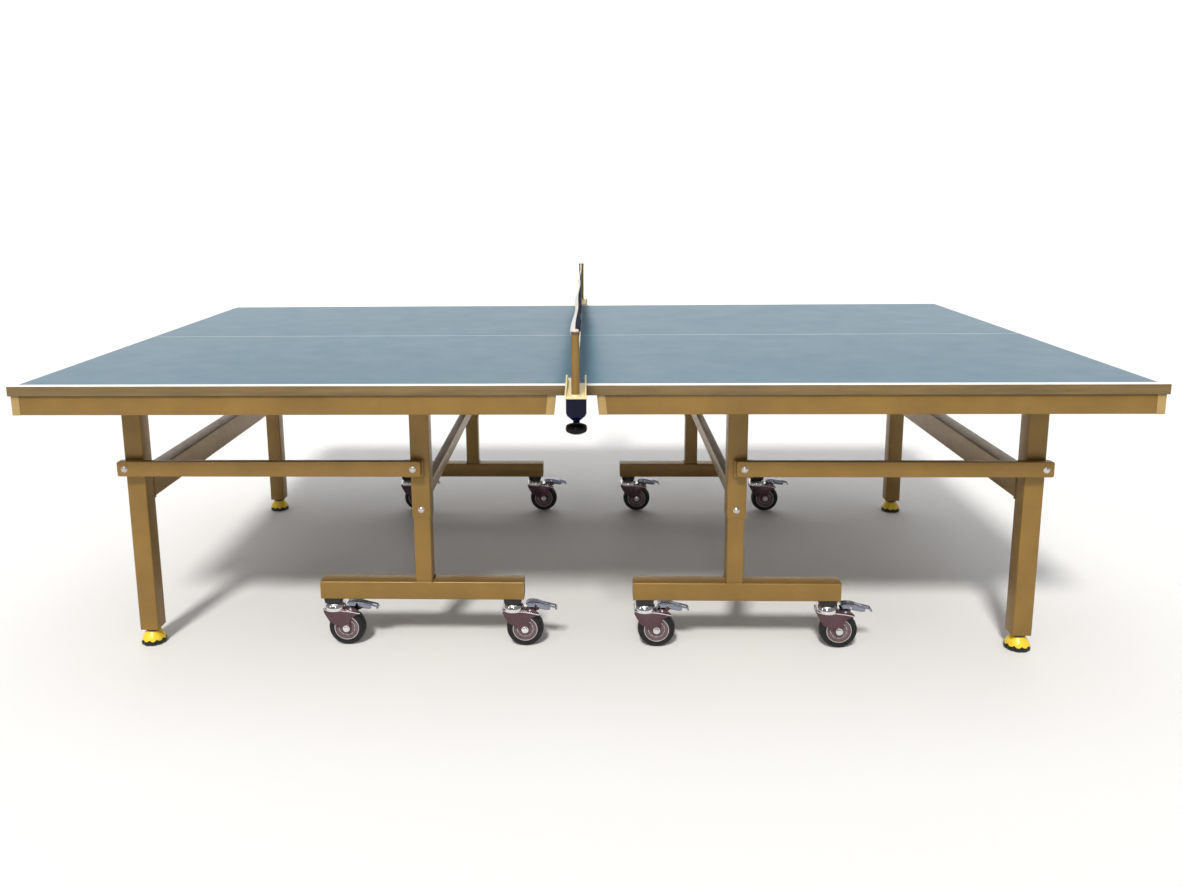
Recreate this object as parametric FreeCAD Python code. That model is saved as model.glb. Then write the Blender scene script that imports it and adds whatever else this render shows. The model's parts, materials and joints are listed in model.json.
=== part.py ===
import FreeCAD, Part
import math
import os

os.makedirs("parts", exist_ok=True)

# A full-size table tennis table in two halves that roll apart and fold up on their own stands.
# Millimetres. X runs along the table, Y across it, Z up; the origin is on the floor under the
# middle of the net. Every shape of a half is drawn on the +X side, at +Y where it has a twin.

# playing top
table_length = 2740.0
table_width = 1525.0
table_height = 760.0
panel_thickness = 25.0
seam_gap = 5.0
panel_edge_radius = 2.0

# apron frame under each panel
apron_height = 48.0
apron_thickness = 20.0
apron_wall = 1.5
apron_drain_radius = 3.0
apron_inset = 6.0
apron_net_setback = 48.0
apron_end_slant = 5.0
net_strap_width = 40.0
net_strap_thickness = 5.0
net_beam_width = 25.0
net_beam_depth = 25.0
net_beam_end_gap = 25.0

# square tubes of the stands and legs
tube_size = 50.0
tube_wall = 2.0
frame_centre_y = 550.0
stand_x = 411.0
leg_x = 1165.0
pivot_below_panel = 36.0
tube_above_pivot = 16.0

# sliding upright: a lower tube inside a sleeve, held by one through bolt
sleeve_wall = 2.3
sleeve_fit = 0.2
sleeve_bottom = 368.0
lower_tube_top = 470.0
sleeve_bolt_height = 388.0
sleeve_bolt_radius = 5.0
sleeve_bolt_head_radius = 9.0
sleeve_bolt_head_rise = 6.0
sleeve_nut_radius = 7.0
bolt_clearance = 0.1
stand_bar_width = 25.0
stand_bar_height = 40.0
stand_bar_centre_height = 416.0

# T-shaped stand foot
foot_bar_inner_x = 145.0
foot_bar_outer_x = 690.0
foot_bar_height = 50.0

# outer leg frame
leg_bottom = 45.0
leg_end_plate = 5.0
leg_bar_width = 50.0
leg_bar_height = 70.0
leg_bar_centre_height = 442.0

# link bars of the folding parallelogram
link_pivot_height = 506.0
link_pivot_offset = 14.0
link_bar_height = 40.0
link_bar_thickness = 20.0
link_bar_wall = 1.5
link_bar_corner = 5.0
link_bar_end_wall = 6.0
link_drain_radius = 3.0
link_pad_thickness = 8.0
stand_pad_width = 50.0
stand_pad_above = 18.5
stand_pad_below = 28.0
leg_pad_width = 36.0
leg_pad_above = 18.5
leg_pad_below = 18.5
link_gap = 0.5
link_pin_radius = 5.0
link_pin_reach = 8.0
link_head_radius = 8.5
link_head_rise = 4.0
open_pivot_clearance = 0.5
running_clearance = 0.05

# fold brackets under the panel
bracket_plate = 3.0
bracket_cheek = 4.0
bracket_side_gap = 0.5
bracket_half_width = 22.0
bracket_pin_radius = 6.0
bracket_pin_head = 2.0
bracket_pin_head_radius = 10.0

# levelling foot
level_stem_radius = 6.0
level_stem_reach = 30.0
level_nut_radius = 19.0
level_nut_height = 6.7
level_body_top_radius = 23.0
level_body_radius = 29.0
level_base_radius = 33.0
level_base_height = 12.0
level_scallops = 10
level_scallop_radius = 5.0
level_scallop_depth = 2.25
level_gap = 0.3

# swivel caster
caster_end_inset = 31.0
caster_trail = 32.0
wheel_radius = 50.0
wheel_width = 30.0
wheel_shoulder = 6.0
wheel_crown = 1.5
hub_radius = 31.0
hub_boss_radius = 12.0
hub_recess = 4.0
axle_radius = 4.0
axle_head_radius = 7.0
axle_head_height = 3.0
cheek_gap = 2.0
cheek_thickness = 2.5
cheek_back_reach = 28.0
cheek_front_reach = 70.0
cheek_eye_radius = 9.0
cheek_edge_depth = 9.0
crown_gap = 4.0
crown_thickness = 3.0
crown_radius = 30.0
race_radius = 28.0
race_neck_radius = 22.0
race_wall_height = 11.0
race_rise = 15.6
race_top_gap = 0.4
boss_size = 50.0
boss_height = 14.0
kingpin_radius = 6.0
kingpin_reach = 12.0
pedal_pivot_x = 46.0
pedal_above_wheel = 6.0
pedal_pin_radius = 2.5
pedal_eye_radius = 5.0
pedal_reach = 118.0
pedal_rise = 20.0
pedal_thickness = 5.0
pedal_half_width = 14.0
pedal_lug = 3.0
crown_to_pedal = 8.0

# net set
net_height = 152.5
net_outboard = 152.5
post_radius = 10.0
post_wall = 1.5
post_above_net = 1.5
net_thickness = 2.4
net_tape_height = 13.0
net_tape_thickness = 5.0
net_bottom_gap = 0.6
net_end_gap = 2.0
bracket_plate_lift = 0.4
net_plate_thickness = 5.0
net_plate_half_width = 24.0
net_plate_tongue = 62.0
tongue_seam_gap = 0.5
net_plate_overhang = 12.0
net_side_gap = 1.0
net_rib_thickness = 4.0
net_rib_rise = 20.0
net_rib_slope = 10.0
net_rib_flat = 25.0
net_rib_end_height = 3.0
housing_side_gap = 0.5
housing_depth = 50.0
housing_height = 77.0
housing_straight = 58.0
housing_neck_radius = 8.0
housing_neck_height = 7.0
housing_wall = 6.0
housing_side_wall = 1.5
housing_taper = 9.0
housing_knee_share = 0.8
housing_bottom_share = 0.45
pocket_depth = 35.0
jaw_thickness = 9.0
jaw_reach = 48.0
jaw_gap = 0.3
jaw_seam_gap = 1.5
jaw_side_gap = 0.5
pocket_top_gap = 1.0
jaw_bore_depth = 5.0
screw_tip_gap = 0.5
screw_radius = 4.0
knob_radius = 25.5
knob_height = 24.0
knob_gap = 2.0
knob_seat = 2.0
knob_bottom_share = 0.62
knob_top_share = 0.55

# sizes that follow from the ones above
half_width = table_width / 2.0
panel_bottom = table_height - panel_thickness
pivot_height = panel_bottom - pivot_below_panel
tube_half = tube_size / 2.0
tube_top = pivot_height + tube_above_pivot
tube_outer_y = frame_centre_y + tube_half
tube_inner_y = frame_centre_y - tube_half
crown_bottom = 2.0 * wheel_radius + crown_gap
crown_top = crown_bottom + crown_thickness
race_top = crown_top + race_rise
foot_bar_bottom = race_top + race_top_gap + boss_height
foot_bar_top = foot_bar_bottom + foot_bar_height
pedal_pivot_height = 2.0 * wheel_radius + pedal_above_wheel
lower_tube = tube_size - 2.0 * (sleeve_wall + sleeve_fit)
link_inner_y = tube_outer_y + link_pad_thickness + link_gap
link_outer_y = link_inner_y + link_bar_thickness
post_y = half_width + net_outboard - post_radius
net_top = table_height + net_height
plate_bottom = table_height + bracket_plate_lift
plate_top = plate_bottom + net_plate_thickness
housing_inner_y = half_width + net_side_gap + housing_side_gap
screw_y = housing_inner_y + housing_depth / 2.0


def box(x0, x1, y0, y1, z0, z1):
    corner = FreeCAD.Vector(x0, y0, z0)
    return Part.makeBox(x1 - x0, y1 - y0, z1 - z0, corner)


def disc_z(x, y, z0, z1, radius):
    return Part.makeCylinder(radius, z1 - z0, FreeCAD.Vector(x, y, z0), FreeCAD.Vector(0, 0, 1))


def disc_y(x, z, y0, y1, radius):
    return Part.makeCylinder(radius, y1 - y0, FreeCAD.Vector(x, y0, z), FreeCAD.Vector(0, 1, 0))


def cone_z(x, y, z0, z1, radius0, radius1):
    return Part.makeCone(radius0, radius1, z1 - z0, FreeCAD.Vector(x, y, z0), FreeCAD.Vector(0, 0, 1))


def plate_xz(outline, y0, y1):
    points = [FreeCAD.Vector(x, y0, z) for x, z in outline]
    face = Part.Face(Part.makePolygon(points + points[:1]))
    return face.extrude(FreeCAD.Vector(0, y1 - y0, 0))


def plate_yz(outline, x0, x1):
    points = [FreeCAD.Vector(x0, y, z) for y, z in outline]
    face = Part.Face(Part.makePolygon(points + points[:1]))
    return face.extrude(FreeCAD.Vector(x1 - x0, 0, 0))


def join(shapes):
    return shapes[0].fuse(shapes[1:]).removeSplitter()


def cut(shape, tools):
    return shape.cut(Part.makeCompound(tools)).removeSplitter()


def flip_x(shape):
    return shape.mirror(FreeCAD.Vector(0, 0, 0), FreeCAD.Vector(1, 0, 0))


def flip_y(shape):
    return shape.mirror(FreeCAD.Vector(0, 0, 0), FreeCAD.Vector(0, 1, 0))


def both_y(shape):
    return [shape, flip_y(shape)]


def dome_y(x, z, y, rise, radius):
    """Domed bolt head on the +Y side of the plane at y, `rise` high."""
    sphere_radius = (radius * radius + rise * rise) / (2.0 * rise)
    centre = FreeCAD.Vector(x, y + rise - sphere_radius, z)
    sphere = Part.makeSphere(sphere_radius, centre)
    return sphere.common(disc_y(x, z, y, y + rise, radius))


def write(node, shape):
    shape.exportStep("parts/" + node + ".step")
    print(node, len(shape.Solids), "solids", round(shape.Volume / 1000.0, 1), "cm3", shape.isValid())


def write_pair(name, shape):
    """The right half's piece, and its mirror image for the left half."""
    write("right_" + name, shape)
    write("left_" + name, flip_x(shape))


def tabletop():
    panel = box(seam_gap / 2.0, table_length / 2.0, -half_width, half_width, panel_bottom, table_height)
    upright_edges = []
    for edge in panel.Edges:
        direction = edge.tangentAt(edge.FirstParameter)
        if abs(direction.z) > 0.9:
            upright_edges.append(edge)
    return panel.makeFillet(panel_edge_radius, upright_edges)


def apron_frame():
    """Side rails, outer end tube, and a flat strap with a short beam at the net end."""
    outer_y = half_width - apron_inset
    inner_y = outer_y - apron_thickness
    end_x = table_length / 2.0 - apron_inset
    bottom = panel_bottom - apron_height
    rail_outline = [
        (apron_net_setback + apron_end_slant, bottom),
        (end_x, bottom),
        (end_x, panel_bottom),
        (apron_net_setback, panel_bottom),
    ]
    rail = plate_xz(rail_outline, inner_y, outer_y)
    end_tube = box(end_x - apron_thickness, end_x, -outer_y, outer_y, bottom, panel_bottom)
    strap_x = apron_net_setback + net_strap_width
    strap = box(
        apron_net_setback, strap_x, -outer_y, outer_y, panel_bottom - net_strap_thickness, panel_bottom,
    )
    beam_half = tube_inner_y - net_beam_end_gap
    beam = box(
        strap_x - net_beam_width, strap_x, -beam_half, beam_half,
        panel_bottom - net_strap_thickness - net_beam_depth, panel_bottom - net_strap_thickness,
    )
    hollow_x = apron_net_setback + apron_end_slant + apron_wall
    rail_hollow = box(
        hollow_x, end_x - apron_wall, inner_y + apron_wall, outer_y - apron_wall,
        bottom + apron_wall, panel_bottom - apron_wall,
    )
    end_hollow = box(
        end_x - apron_thickness + apron_wall, end_x - apron_wall,
        -outer_y + apron_wall, outer_y - apron_wall,
        bottom + apron_wall, panel_bottom - apron_wall,
    )
    beam_hollow = box(
        strap_x - net_beam_width + apron_wall, strap_x - apron_wall, -beam_half, beam_half,
        panel_bottom - net_strap_thickness - net_beam_depth + apron_wall,
        panel_bottom - net_strap_thickness - apron_wall,
    )
    drain_x = end_x - apron_thickness / 2.0
    drain = disc_z(drain_x, 0.0, bottom, bottom + 2.0 * apron_wall, apron_drain_radius)
    frame = join([end_tube, strap, beam] + both_y(rail))
    return cut(frame, both_y(rail_hollow) + [end_hollow, beam_hollow, drain])


def fold_bracket(x):
    """U-shaped steel bracket on the panel's underside, with the pin that a tube end turns on."""
    cheek_inner = frame_centre_y - tube_half - bracket_side_gap
    cheek_outer = frame_centre_y + tube_half + bracket_side_gap
    base = box(
        x - bracket_half_width, x + bracket_half_width, cheek_inner - bracket_cheek,
        cheek_outer + bracket_cheek, panel_bottom - bracket_plate, panel_bottom,
    )
    pieces = [base]
    for y in (cheek_inner - bracket_cheek, cheek_outer):
        flat = box(
            x - bracket_half_width, x + bracket_half_width, y, y + bracket_cheek,
            pivot_height, panel_bottom - bracket_plate,
        )
        round_end = disc_y(x, pivot_height, y, y + bracket_cheek, bracket_half_width)
        pieces += [flat, round_end]
    pin_start = cheek_inner - bracket_cheek - bracket_pin_head
    pin_end = cheek_outer + bracket_cheek + bracket_pin_head
    pieces.append(disc_y(x, pivot_height, pin_start, pin_end, bracket_pin_radius))
    pieces.append(disc_y(x, pivot_height, pin_start, pin_start + bracket_pin_head, bracket_pin_head_radius))
    pieces.append(disc_y(x, pivot_height, pin_end - bracket_pin_head, pin_end, bracket_pin_head_radius))
    return join(pieces)


def hinge_brackets():
    return Part.makeCompound(both_y(fold_bracket(stand_x)) + both_y(fold_bracket(leg_x)))


def link_pad(x, width, above, below):
    """Thick pad welded on a tube's outer face, where a link bar is pinned."""
    pivot_x = x + link_pivot_offset
    return box(
        pivot_x - width / 2.0, pivot_x + width / 2.0, tube_outer_y, tube_outer_y + link_pad_thickness,
        link_pivot_height - below, link_pivot_height + above,
    )


def link_hole(x, clearance):
    reach = link_pad_thickness + tube_wall + sleeve_wall
    y1 = tube_outer_y + link_pad_thickness
    return disc_y(x + link_pivot_offset, link_pivot_height, y1 - reach, y1, link_pin_radius + clearance)


def upper_frame():
    """Two sleeves joined by a cross bar; each sleeve's top turns on a fold bracket's pin."""
    sleeve = box(
        stand_x - tube_half, stand_x + tube_half, tube_inner_y, tube_outer_y, sleeve_bottom, tube_top,
    )
    bore_half = tube_half - sleeve_wall
    bore = box(
        stand_x - bore_half, stand_x + bore_half, frame_centre_y - bore_half, frame_centre_y + bore_half,
        sleeve_bottom, tube_top - sleeve_wall,
    )
    bar_half_x = stand_bar_width / 2.0
    bar_half_z = stand_bar_height / 2.0
    bar = box(
        stand_x - bar_half_x, stand_x + bar_half_x, -tube_inner_y, tube_inner_y,
        stand_bar_centre_height - bar_half_z, stand_bar_centre_height + bar_half_z,
    )
    bar_hollow = box(
        stand_x - bar_half_x + tube_wall, stand_x + bar_half_x - tube_wall, -frame_centre_y, frame_centre_y,
        stand_bar_centre_height - bar_half_z + tube_wall, stand_bar_centre_height + bar_half_z - tube_wall,
    )
    pivot_hole = disc_y(
        stand_x, pivot_height, tube_inner_y, tube_outer_y, bracket_pin_radius + running_clearance,
    )
    bolt_hole = disc_y(
        stand_x, sleeve_bolt_height, tube_inner_y, tube_outer_y, sleeve_bolt_radius + bolt_clearance,
    )
    pad = link_pad(stand_x, stand_pad_width, stand_pad_above, stand_pad_below)
    frame = join([bar] + both_y(sleeve) + both_y(pad))
    tools = [bar_hollow]
    for tool in (bore, pivot_hole, bolt_hole, link_hole(stand_x, running_clearance)):
        tools += both_y(tool)
    return cut(frame, tools)


def caster_stems():
    return [foot_bar_inner_x + caster_end_inset, foot_bar_outer_x - caster_end_inset]


def t_stand():
    """Lower tube of the upright welded on a long foot bar that carries two casters."""
    y0 = frame_centre_y - tube_half
    y1 = frame_centre_y + tube_half
    bar = box(foot_bar_inner_x, foot_bar_outer_x, y0, y1, foot_bar_bottom, foot_bar_top)
    bar_hollow = box(
        foot_bar_inner_x + tube_wall, foot_bar_outer_x - tube_wall, y0 + tube_wall, y1 - tube_wall,
        foot_bar_bottom + tube_wall, foot_bar_top - tube_wall,
    )
    half = lower_tube / 2.0
    post = box(
        stand_x - half, stand_x + half, frame_centre_y - half, frame_centre_y + half,
        foot_bar_top - tube_wall, lower_tube_top,
    )
    inner = half - tube_wall
    post_hollow = box(
        stand_x - inner, stand_x + inner, frame_centre_y - inner, frame_centre_y + inner,
        foot_bar_top - tube_wall, lower_tube_top,
    )
    bolt_hole = disc_y(
        stand_x, sleeve_bolt_height, y0, y1, sleeve_bolt_radius + bolt_clearance,
    )
    tools = [bar_hollow, post_hollow, bolt_hole]
    for x in caster_stems():
        tools.append(disc_z(
            x, frame_centre_y, foot_bar_bottom, foot_bar_bottom + tube_wall,
            kingpin_radius + running_clearance,
        ))
    return cut(join([bar, post]), tools)


def sleeve_bolt():
    shank = disc_y(stand_x, sleeve_bolt_height, tube_inner_y, tube_outer_y, sleeve_bolt_radius)
    head = dome_y(stand_x, sleeve_bolt_height, tube_outer_y, sleeve_bolt_head_rise, sleeve_bolt_head_radius)
    nut = disc_y(
        stand_x, sleeve_bolt_height, tube_inner_y - sleeve_bolt_head_rise, tube_inner_y,
        sleeve_nut_radius,
    )
    return join([shank, head, nut])


def caster_bosses():
    """Square plastic blocks between the foot bar and each caster's swivel head."""
    half = boss_size / 2.0
    bosses = []
    for x in caster_stems():
        block = box(
            x - half, x + half, frame_centre_y - half, frame_centre_y + half,
            foot_bar_bottom - boss_height, foot_bar_bottom,
        )
        hole = disc_z(
            x, frame_centre_y, foot_bar_bottom - boss_height, foot_bar_bottom,
            kingpin_radius + running_clearance,
        )
        bosses += both_y(block.cut(hole))
    return Part.makeCompound(bosses)


def leg_frame():
    """Two legs joined by a cross bar; each leg's top turns on a fold bracket's pin."""
    leg = box(leg_x - tube_half, leg_x + tube_half, tube_inner_y, tube_outer_y, leg_bottom, tube_top)
    inner = tube_half - tube_wall
    leg_hollow = box(
        leg_x - inner, leg_x + inner, frame_centre_y - inner, frame_centre_y + inner,
        leg_bottom + leg_end_plate, tube_top - tube_wall,
    )
    bar_half_x = leg_bar_width / 2.0
    bar_half_z = leg_bar_height / 2.0
    bar = box(
        leg_x - bar_half_x, leg_x + bar_half_x, -tube_inner_y, tube_inner_y,
        leg_bar_centre_height - bar_half_z, leg_bar_centre_height + bar_half_z,
    )
    bar_hollow = box(
        leg_x - bar_half_x + tube_wall, leg_x + bar_half_x - tube_wall, -frame_centre_y, frame_centre_y,
        leg_bar_centre_height - bar_half_z + tube_wall, leg_bar_centre_height + bar_half_z - tube_wall,
    )
    pivot_hole = disc_y(
        leg_x, pivot_height, tube_inner_y, tube_outer_y, bracket_pin_radius + running_clearance,
    )
    stem_hole = disc_z(
        leg_x, frame_centre_y, leg_bottom, leg_bottom + leg_end_plate,
        level_stem_radius + running_clearance,
    )
    pad = link_pad(leg_x, leg_pad_width, leg_pad_above, leg_pad_below)
    frame = join([bar] + both_y(leg) + both_y(pad))
    tools = [bar_hollow]
    for tool in (leg_hollow, pivot_hole, stem_hole, link_hole(leg_x, open_pivot_clearance)):
        tools += both_y(tool)
    return cut(frame, tools)


def link_bar():
    """Rectangular tube with a riveted pin near each end, keeping leg and upright parallel."""
    x0 = stand_x + link_pivot_offset
    x1 = leg_x + link_pivot_offset
    end = link_bar_height / 2.0
    bar = box(
        x0 - end, x1 + end, link_inner_y, link_outer_y, link_pivot_height - end, link_pivot_height + end,
    )
    corner_edges = []
    for edge in bar.Edges:
        direction = edge.tangentAt(edge.FirstParameter)
        if abs(direction.y) > 0.9:
            corner_edges.append(edge)
    bar = bar.makeFillet(link_bar_corner, corner_edges)
    wall = link_bar_wall
    hollow = box(
        x0 - end + link_bar_end_wall, x1 + end - link_bar_end_wall,
        link_inner_y + wall, link_outer_y - wall,
        link_pivot_height - end + wall, link_pivot_height + end - wall,
    )
    drain = disc_z(
        (x0 + x1) / 2.0, (link_inner_y + link_outer_y) / 2.0, link_pivot_height - end,
        link_pivot_height - end + 2.0 * wall, link_drain_radius,
    )
    pieces = [cut(bar, [hollow, drain])]
    pin_end = tube_outer_y - link_pin_reach
    for x in (x0, x1):
        pieces.append(disc_y(x, link_pivot_height, pin_end, link_outer_y, link_pin_radius))
        pieces.append(dome_y(x, link_pivot_height, link_outer_y, link_head_rise, link_head_radius))
    return join(pieces)


def levelling_foot():
    """Threaded stem, lock nut, tapered body and scalloped base."""
    y = frame_centre_y
    nut_bottom = leg_bottom - level_gap - level_nut_height
    stem = disc_z(leg_x, y, nut_bottom, leg_bottom + level_stem_reach, level_stem_radius)
    nut = disc_z(leg_x, y, nut_bottom, nut_bottom + level_nut_height, level_nut_radius)
    body = cone_z(leg_x, y, level_base_height, nut_bottom, level_body_radius, level_body_top_radius)
    base = disc_z(leg_x, y, 0.0, level_base_height, level_base_radius)
    notches = []
    for i in range(level_scallops):
        angle = 2.0 * math.pi * (i + 0.5) / level_scallops
        distance = level_base_radius + level_scallop_radius - level_scallop_depth
        notches.append(disc_z(
            leg_x + distance * math.cos(angle), y + distance * math.sin(angle),
            0.0, level_base_height, level_scallop_radius,
        ))
    return join([stem, nut, body, cut(base, notches)])


def caster_fork(x, y):
    """Swivel race, kingpin, crown plate, two tapered cheeks, the axle and the pedal pin."""
    cheek_y = wheel_width / 2.0 + cheek_gap
    outer_y = cheek_y + cheek_thickness
    axle_x = x + caster_trail
    pedal_x = x + pedal_pivot_x
    crown_end = pedal_x - crown_to_pedal
    crown = join([
        disc_z(x, y, crown_bottom, crown_top, crown_radius),
        box(x, crown_end, y - outer_y, y + outer_y, crown_bottom, crown_top),
    ])
    race_wall = disc_z(x, y, crown_top, crown_top + race_wall_height, race_radius)
    race_cone = cone_z(x, y, crown_top + race_wall_height, race_top, race_radius, race_neck_radius)
    kingpin = disc_z(x, y, crown_top, foot_bar_bottom + kingpin_reach, kingpin_radius)
    pieces = [crown, race_wall, race_cone, kingpin]
    cheek_outline = [
        (x - cheek_back_reach, crown_top),
        (x - cheek_back_reach, crown_top - cheek_edge_depth),
        (axle_x - axle_head_radius - cheek_edge_depth, wheel_radius + axle_head_radius),
        (axle_x - cheek_edge_depth, wheel_radius - cheek_edge_depth),
        (axle_x + cheek_edge_depth, wheel_radius - cheek_edge_depth),
        (axle_x + cheek_edge_depth, wheel_radius + axle_head_radius),
        (pedal_x, 2.0 * wheel_radius - 2.0 * cheek_edge_depth),
        (x + cheek_front_reach, 2.0 * wheel_radius - cheek_edge_depth),
        (x + cheek_front_reach, 2.0 * wheel_radius),
        (pedal_x + cheek_eye_radius, pedal_pivot_height + pedal_eye_radius),
        (pedal_x - pedal_eye_radius, pedal_pivot_height + pedal_eye_radius),
        (crown_end, crown_top),
    ]
    for side in (y - outer_y, y + cheek_y):
        pieces.append(plate_xz(cheek_outline, side, side + cheek_thickness))
    head_y = outer_y + axle_head_height
    pieces.append(disc_y(axle_x, wheel_radius, y - head_y, y + head_y, axle_radius))
    for side in (y - head_y, y + outer_y):
        pieces.append(disc_y(axle_x, wheel_radius, side, side + axle_head_height, axle_head_radius))
    pieces.append(disc_y(pedal_x, pedal_pivot_height, y - outer_y, y + outer_y, pedal_pin_radius))
    return join(pieces)


def caster_wheel(x, y):
    """Rubber-tyred wheel with a slightly crowned tread and a recessed hub on each side."""
    half = wheel_width / 2.0
    axle_x = x + caster_trail
    inner = wheel_radius - wheel_shoulder
    outer = wheel_radius - wheel_crown
    tread_half = half - wheel_shoulder + wheel_crown
    section = [
        (0.0, half), (inner, half), (outer, tread_half), (wheel_radius, 0.0),
        (outer, -tread_half), (inner, -half), (0.0, -half),
    ]
    points = [FreeCAD.Vector(axle_x + r, y + w, wheel_radius) for r, w in section]
    profile = Part.Face(Part.makePolygon(points + points[:1]))
    solid = profile.revolve(FreeCAD.Vector(axle_x, y, wheel_radius), FreeCAD.Vector(0, 1, 0), 360)
    tools = [disc_y(axle_x, wheel_radius, y - half, y + half, axle_radius + running_clearance)]
    for y0, y1 in ((y - half, y - half + hub_recess), (y + half - hub_recess, y + half)):
        ring = disc_y(axle_x, wheel_radius, y0, y1, hub_radius)
        boss = disc_y(axle_x, wheel_radius, y0, y1, hub_boss_radius)
        tools.append(ring.cut(boss))
    return cut(solid, tools)


def brake_pedal(x, y):
    """Pressed-steel pedal above the trailing side of the wheel, with a lug on each side."""
    pedal_x = x + pedal_pivot_x
    pin_z = pedal_pivot_height
    end_x = x + pedal_reach
    t = pedal_thickness
    eye = pedal_eye_radius
    top = pin_z + pedal_rise
    strip = plate_xz([
        (pedal_x - 2.0 * eye, top - eye - t), (pedal_x - 2.0 * eye, top - eye),
        (pedal_x - eye, top), (pedal_x + 3.0 * eye, top),
        (end_x - 2.0 * eye, pin_z + eye), (end_x, pin_z), (end_x, pin_z - eye),
        (end_x - 2.0 * eye, pin_z + eye - t), (pedal_x + 3.0 * eye, top - t), (pedal_x - eye, top - t),
    ], y - pedal_half_width, y + pedal_half_width)
    pieces = [strip]
    for side in (y - pedal_half_width, y + pedal_half_width - pedal_lug):
        pieces.append(plate_xz([
            (pedal_x - eye, pin_z), (pedal_x + eye, pin_z), (pedal_x + 2.0 * eye, top - t / 2.0),
            (pedal_x - eye, top - t / 2.0),
        ], side, side + pedal_lug))
        pieces.append(disc_y(pedal_x, pin_z, side, side + pedal_lug, eye))
    bore = disc_y(
        pedal_x, pin_z, y - pedal_half_width, y + pedal_half_width, pedal_pin_radius + running_clearance,
    )
    return cut(join(pieces), [bore])


# The net set is drawn on the +Y side.

def net_bracket():
    """Flat plate over the left panel's edge with two ribs, and the post welded on its outer end."""
    half = net_plate_half_width
    inner_y = half_width + net_side_gap
    outer_y = post_y + net_plate_overhang
    tongue_y = half_width - net_plate_tongue
    outboard = box(-half, half, inner_y, outer_y, plate_bottom, plate_top)
    tongue = box(-half, -seam_gap / 2.0 - tongue_seam_gap, tongue_y, inner_y, plate_bottom, plate_top)
    rib_top = plate_top + net_rib_rise
    rib_end = [
        (inner_y + net_rib_flat, rib_top), (outer_y, plate_top + net_rib_end_height), (outer_y, plate_top),
    ]
    left_rib = plate_yz(
        [(tongue_y + net_rib_slope, plate_top), (inner_y - net_rib_slope, rib_top)] + rib_end,
        -half, -half + net_rib_thickness,
    )
    right_rib = plate_yz(
        [(inner_y, plate_top), (inner_y, rib_top)] + rib_end, half - net_rib_thickness, half,
    )
    post_top = net_top + post_above_net
    post = disc_z(0.0, post_y, plate_bottom, post_top, post_radius)
    post_bore = disc_z(0.0, post_y, plate_bottom, post_top - post_wall, post_radius - post_wall)
    return cut(join([outboard, tongue, left_rib, right_rib, post]), [post_bore])


def clamp_housing():
    """Goblet-shaped body outside the panel's edge, with a pocket that the jaw slides in."""
    bottom = plate_bottom - housing_height
    half = net_plate_half_width
    outer_y = housing_inner_y + housing_depth
    shoulder = plate_bottom - housing_straight
    knee = shoulder - housing_taper
    knee_half = half * housing_knee_share
    bottom_half = half * housing_bottom_share
    profile = [
        (-half, plate_bottom), (half, plate_bottom), (half, shoulder), (knee_half, knee),
        (bottom_half, bottom), (-bottom_half, bottom), (-knee_half, knee), (-half, shoulder),
    ]
    goblet = plate_xz(profile, housing_inner_y, outer_y)
    neck = disc_z(0.0, screw_y, bottom - housing_neck_height, bottom, housing_neck_radius)
    pocket_top = panel_bottom + pocket_top_gap
    pocket_bottom = pocket_top - pocket_depth
    pocket = box(
        -half + housing_side_wall, half / 2.0, housing_inner_y, outer_y - housing_wall,
        pocket_bottom, pocket_top,
    )
    screw_hole = disc_z(
        0.0, screw_y, bottom - housing_neck_height, pocket_bottom, screw_radius + running_clearance,
    )
    return cut(join([goblet, neck]), [pocket, screw_hole])


def clamp_jaw():
    """Sliding jaw: a carriage in the housing and a finger under the left panel's edge."""
    top = panel_bottom - jaw_gap
    bottom = top - jaw_thickness
    left_x = -net_plate_half_width + housing_side_wall + jaw_side_gap
    right_x = net_plate_half_width / 2.0 - jaw_side_gap
    inner_y = housing_inner_y + jaw_side_gap
    outer_y = housing_inner_y + housing_depth - housing_wall - jaw_side_gap
    carriage = box(left_x, right_x, inner_y, outer_y, bottom, top)
    finger = box(left_x, -seam_gap / 2.0 - jaw_seam_gap, half_width - jaw_reach, inner_y, bottom, top)
    bore = disc_z(0.0, screw_y, bottom, bottom + jaw_bore_depth, screw_radius + running_clearance)
    return cut(join([carriage, finger]), [bore])


def clamp_screw():
    """Screw with a flattened round knob; its tip turns in the jaw's blind bore."""
    jaw_bottom = panel_bottom - jaw_gap - jaw_thickness
    knob_top = plate_bottom - housing_height - housing_neck_height - knob_gap
    knob_bottom = knob_top - knob_height
    middle = (knob_top + knob_bottom) / 2.0
    tip = jaw_bottom + jaw_bore_depth - screw_tip_gap
    rod = disc_z(0.0, screw_y, knob_top - knob_seat, tip, screw_radius)
    lower = cone_z(0.0, screw_y, knob_bottom, middle, knob_radius * knob_bottom_share, knob_radius)
    upper = cone_z(0.0, screw_y, middle, knob_top, knob_radius, knob_radius * knob_top_share)
    return join([rod, lower, upper])


def net():
    """Stretched mesh and its top tape, a plain thin slab between the posts."""
    end_y = post_y - post_radius - net_end_gap
    half = net_thickness / 2.0
    mesh = box(-half, half, -end_y, end_y, plate_top + net_bottom_gap, net_top)
    tape_half = net_tape_thickness / 2.0
    tape = box(-tape_half, tape_half, -end_y, end_y, net_top - net_tape_height, net_top)
    return join([mesh, tape])


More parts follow.
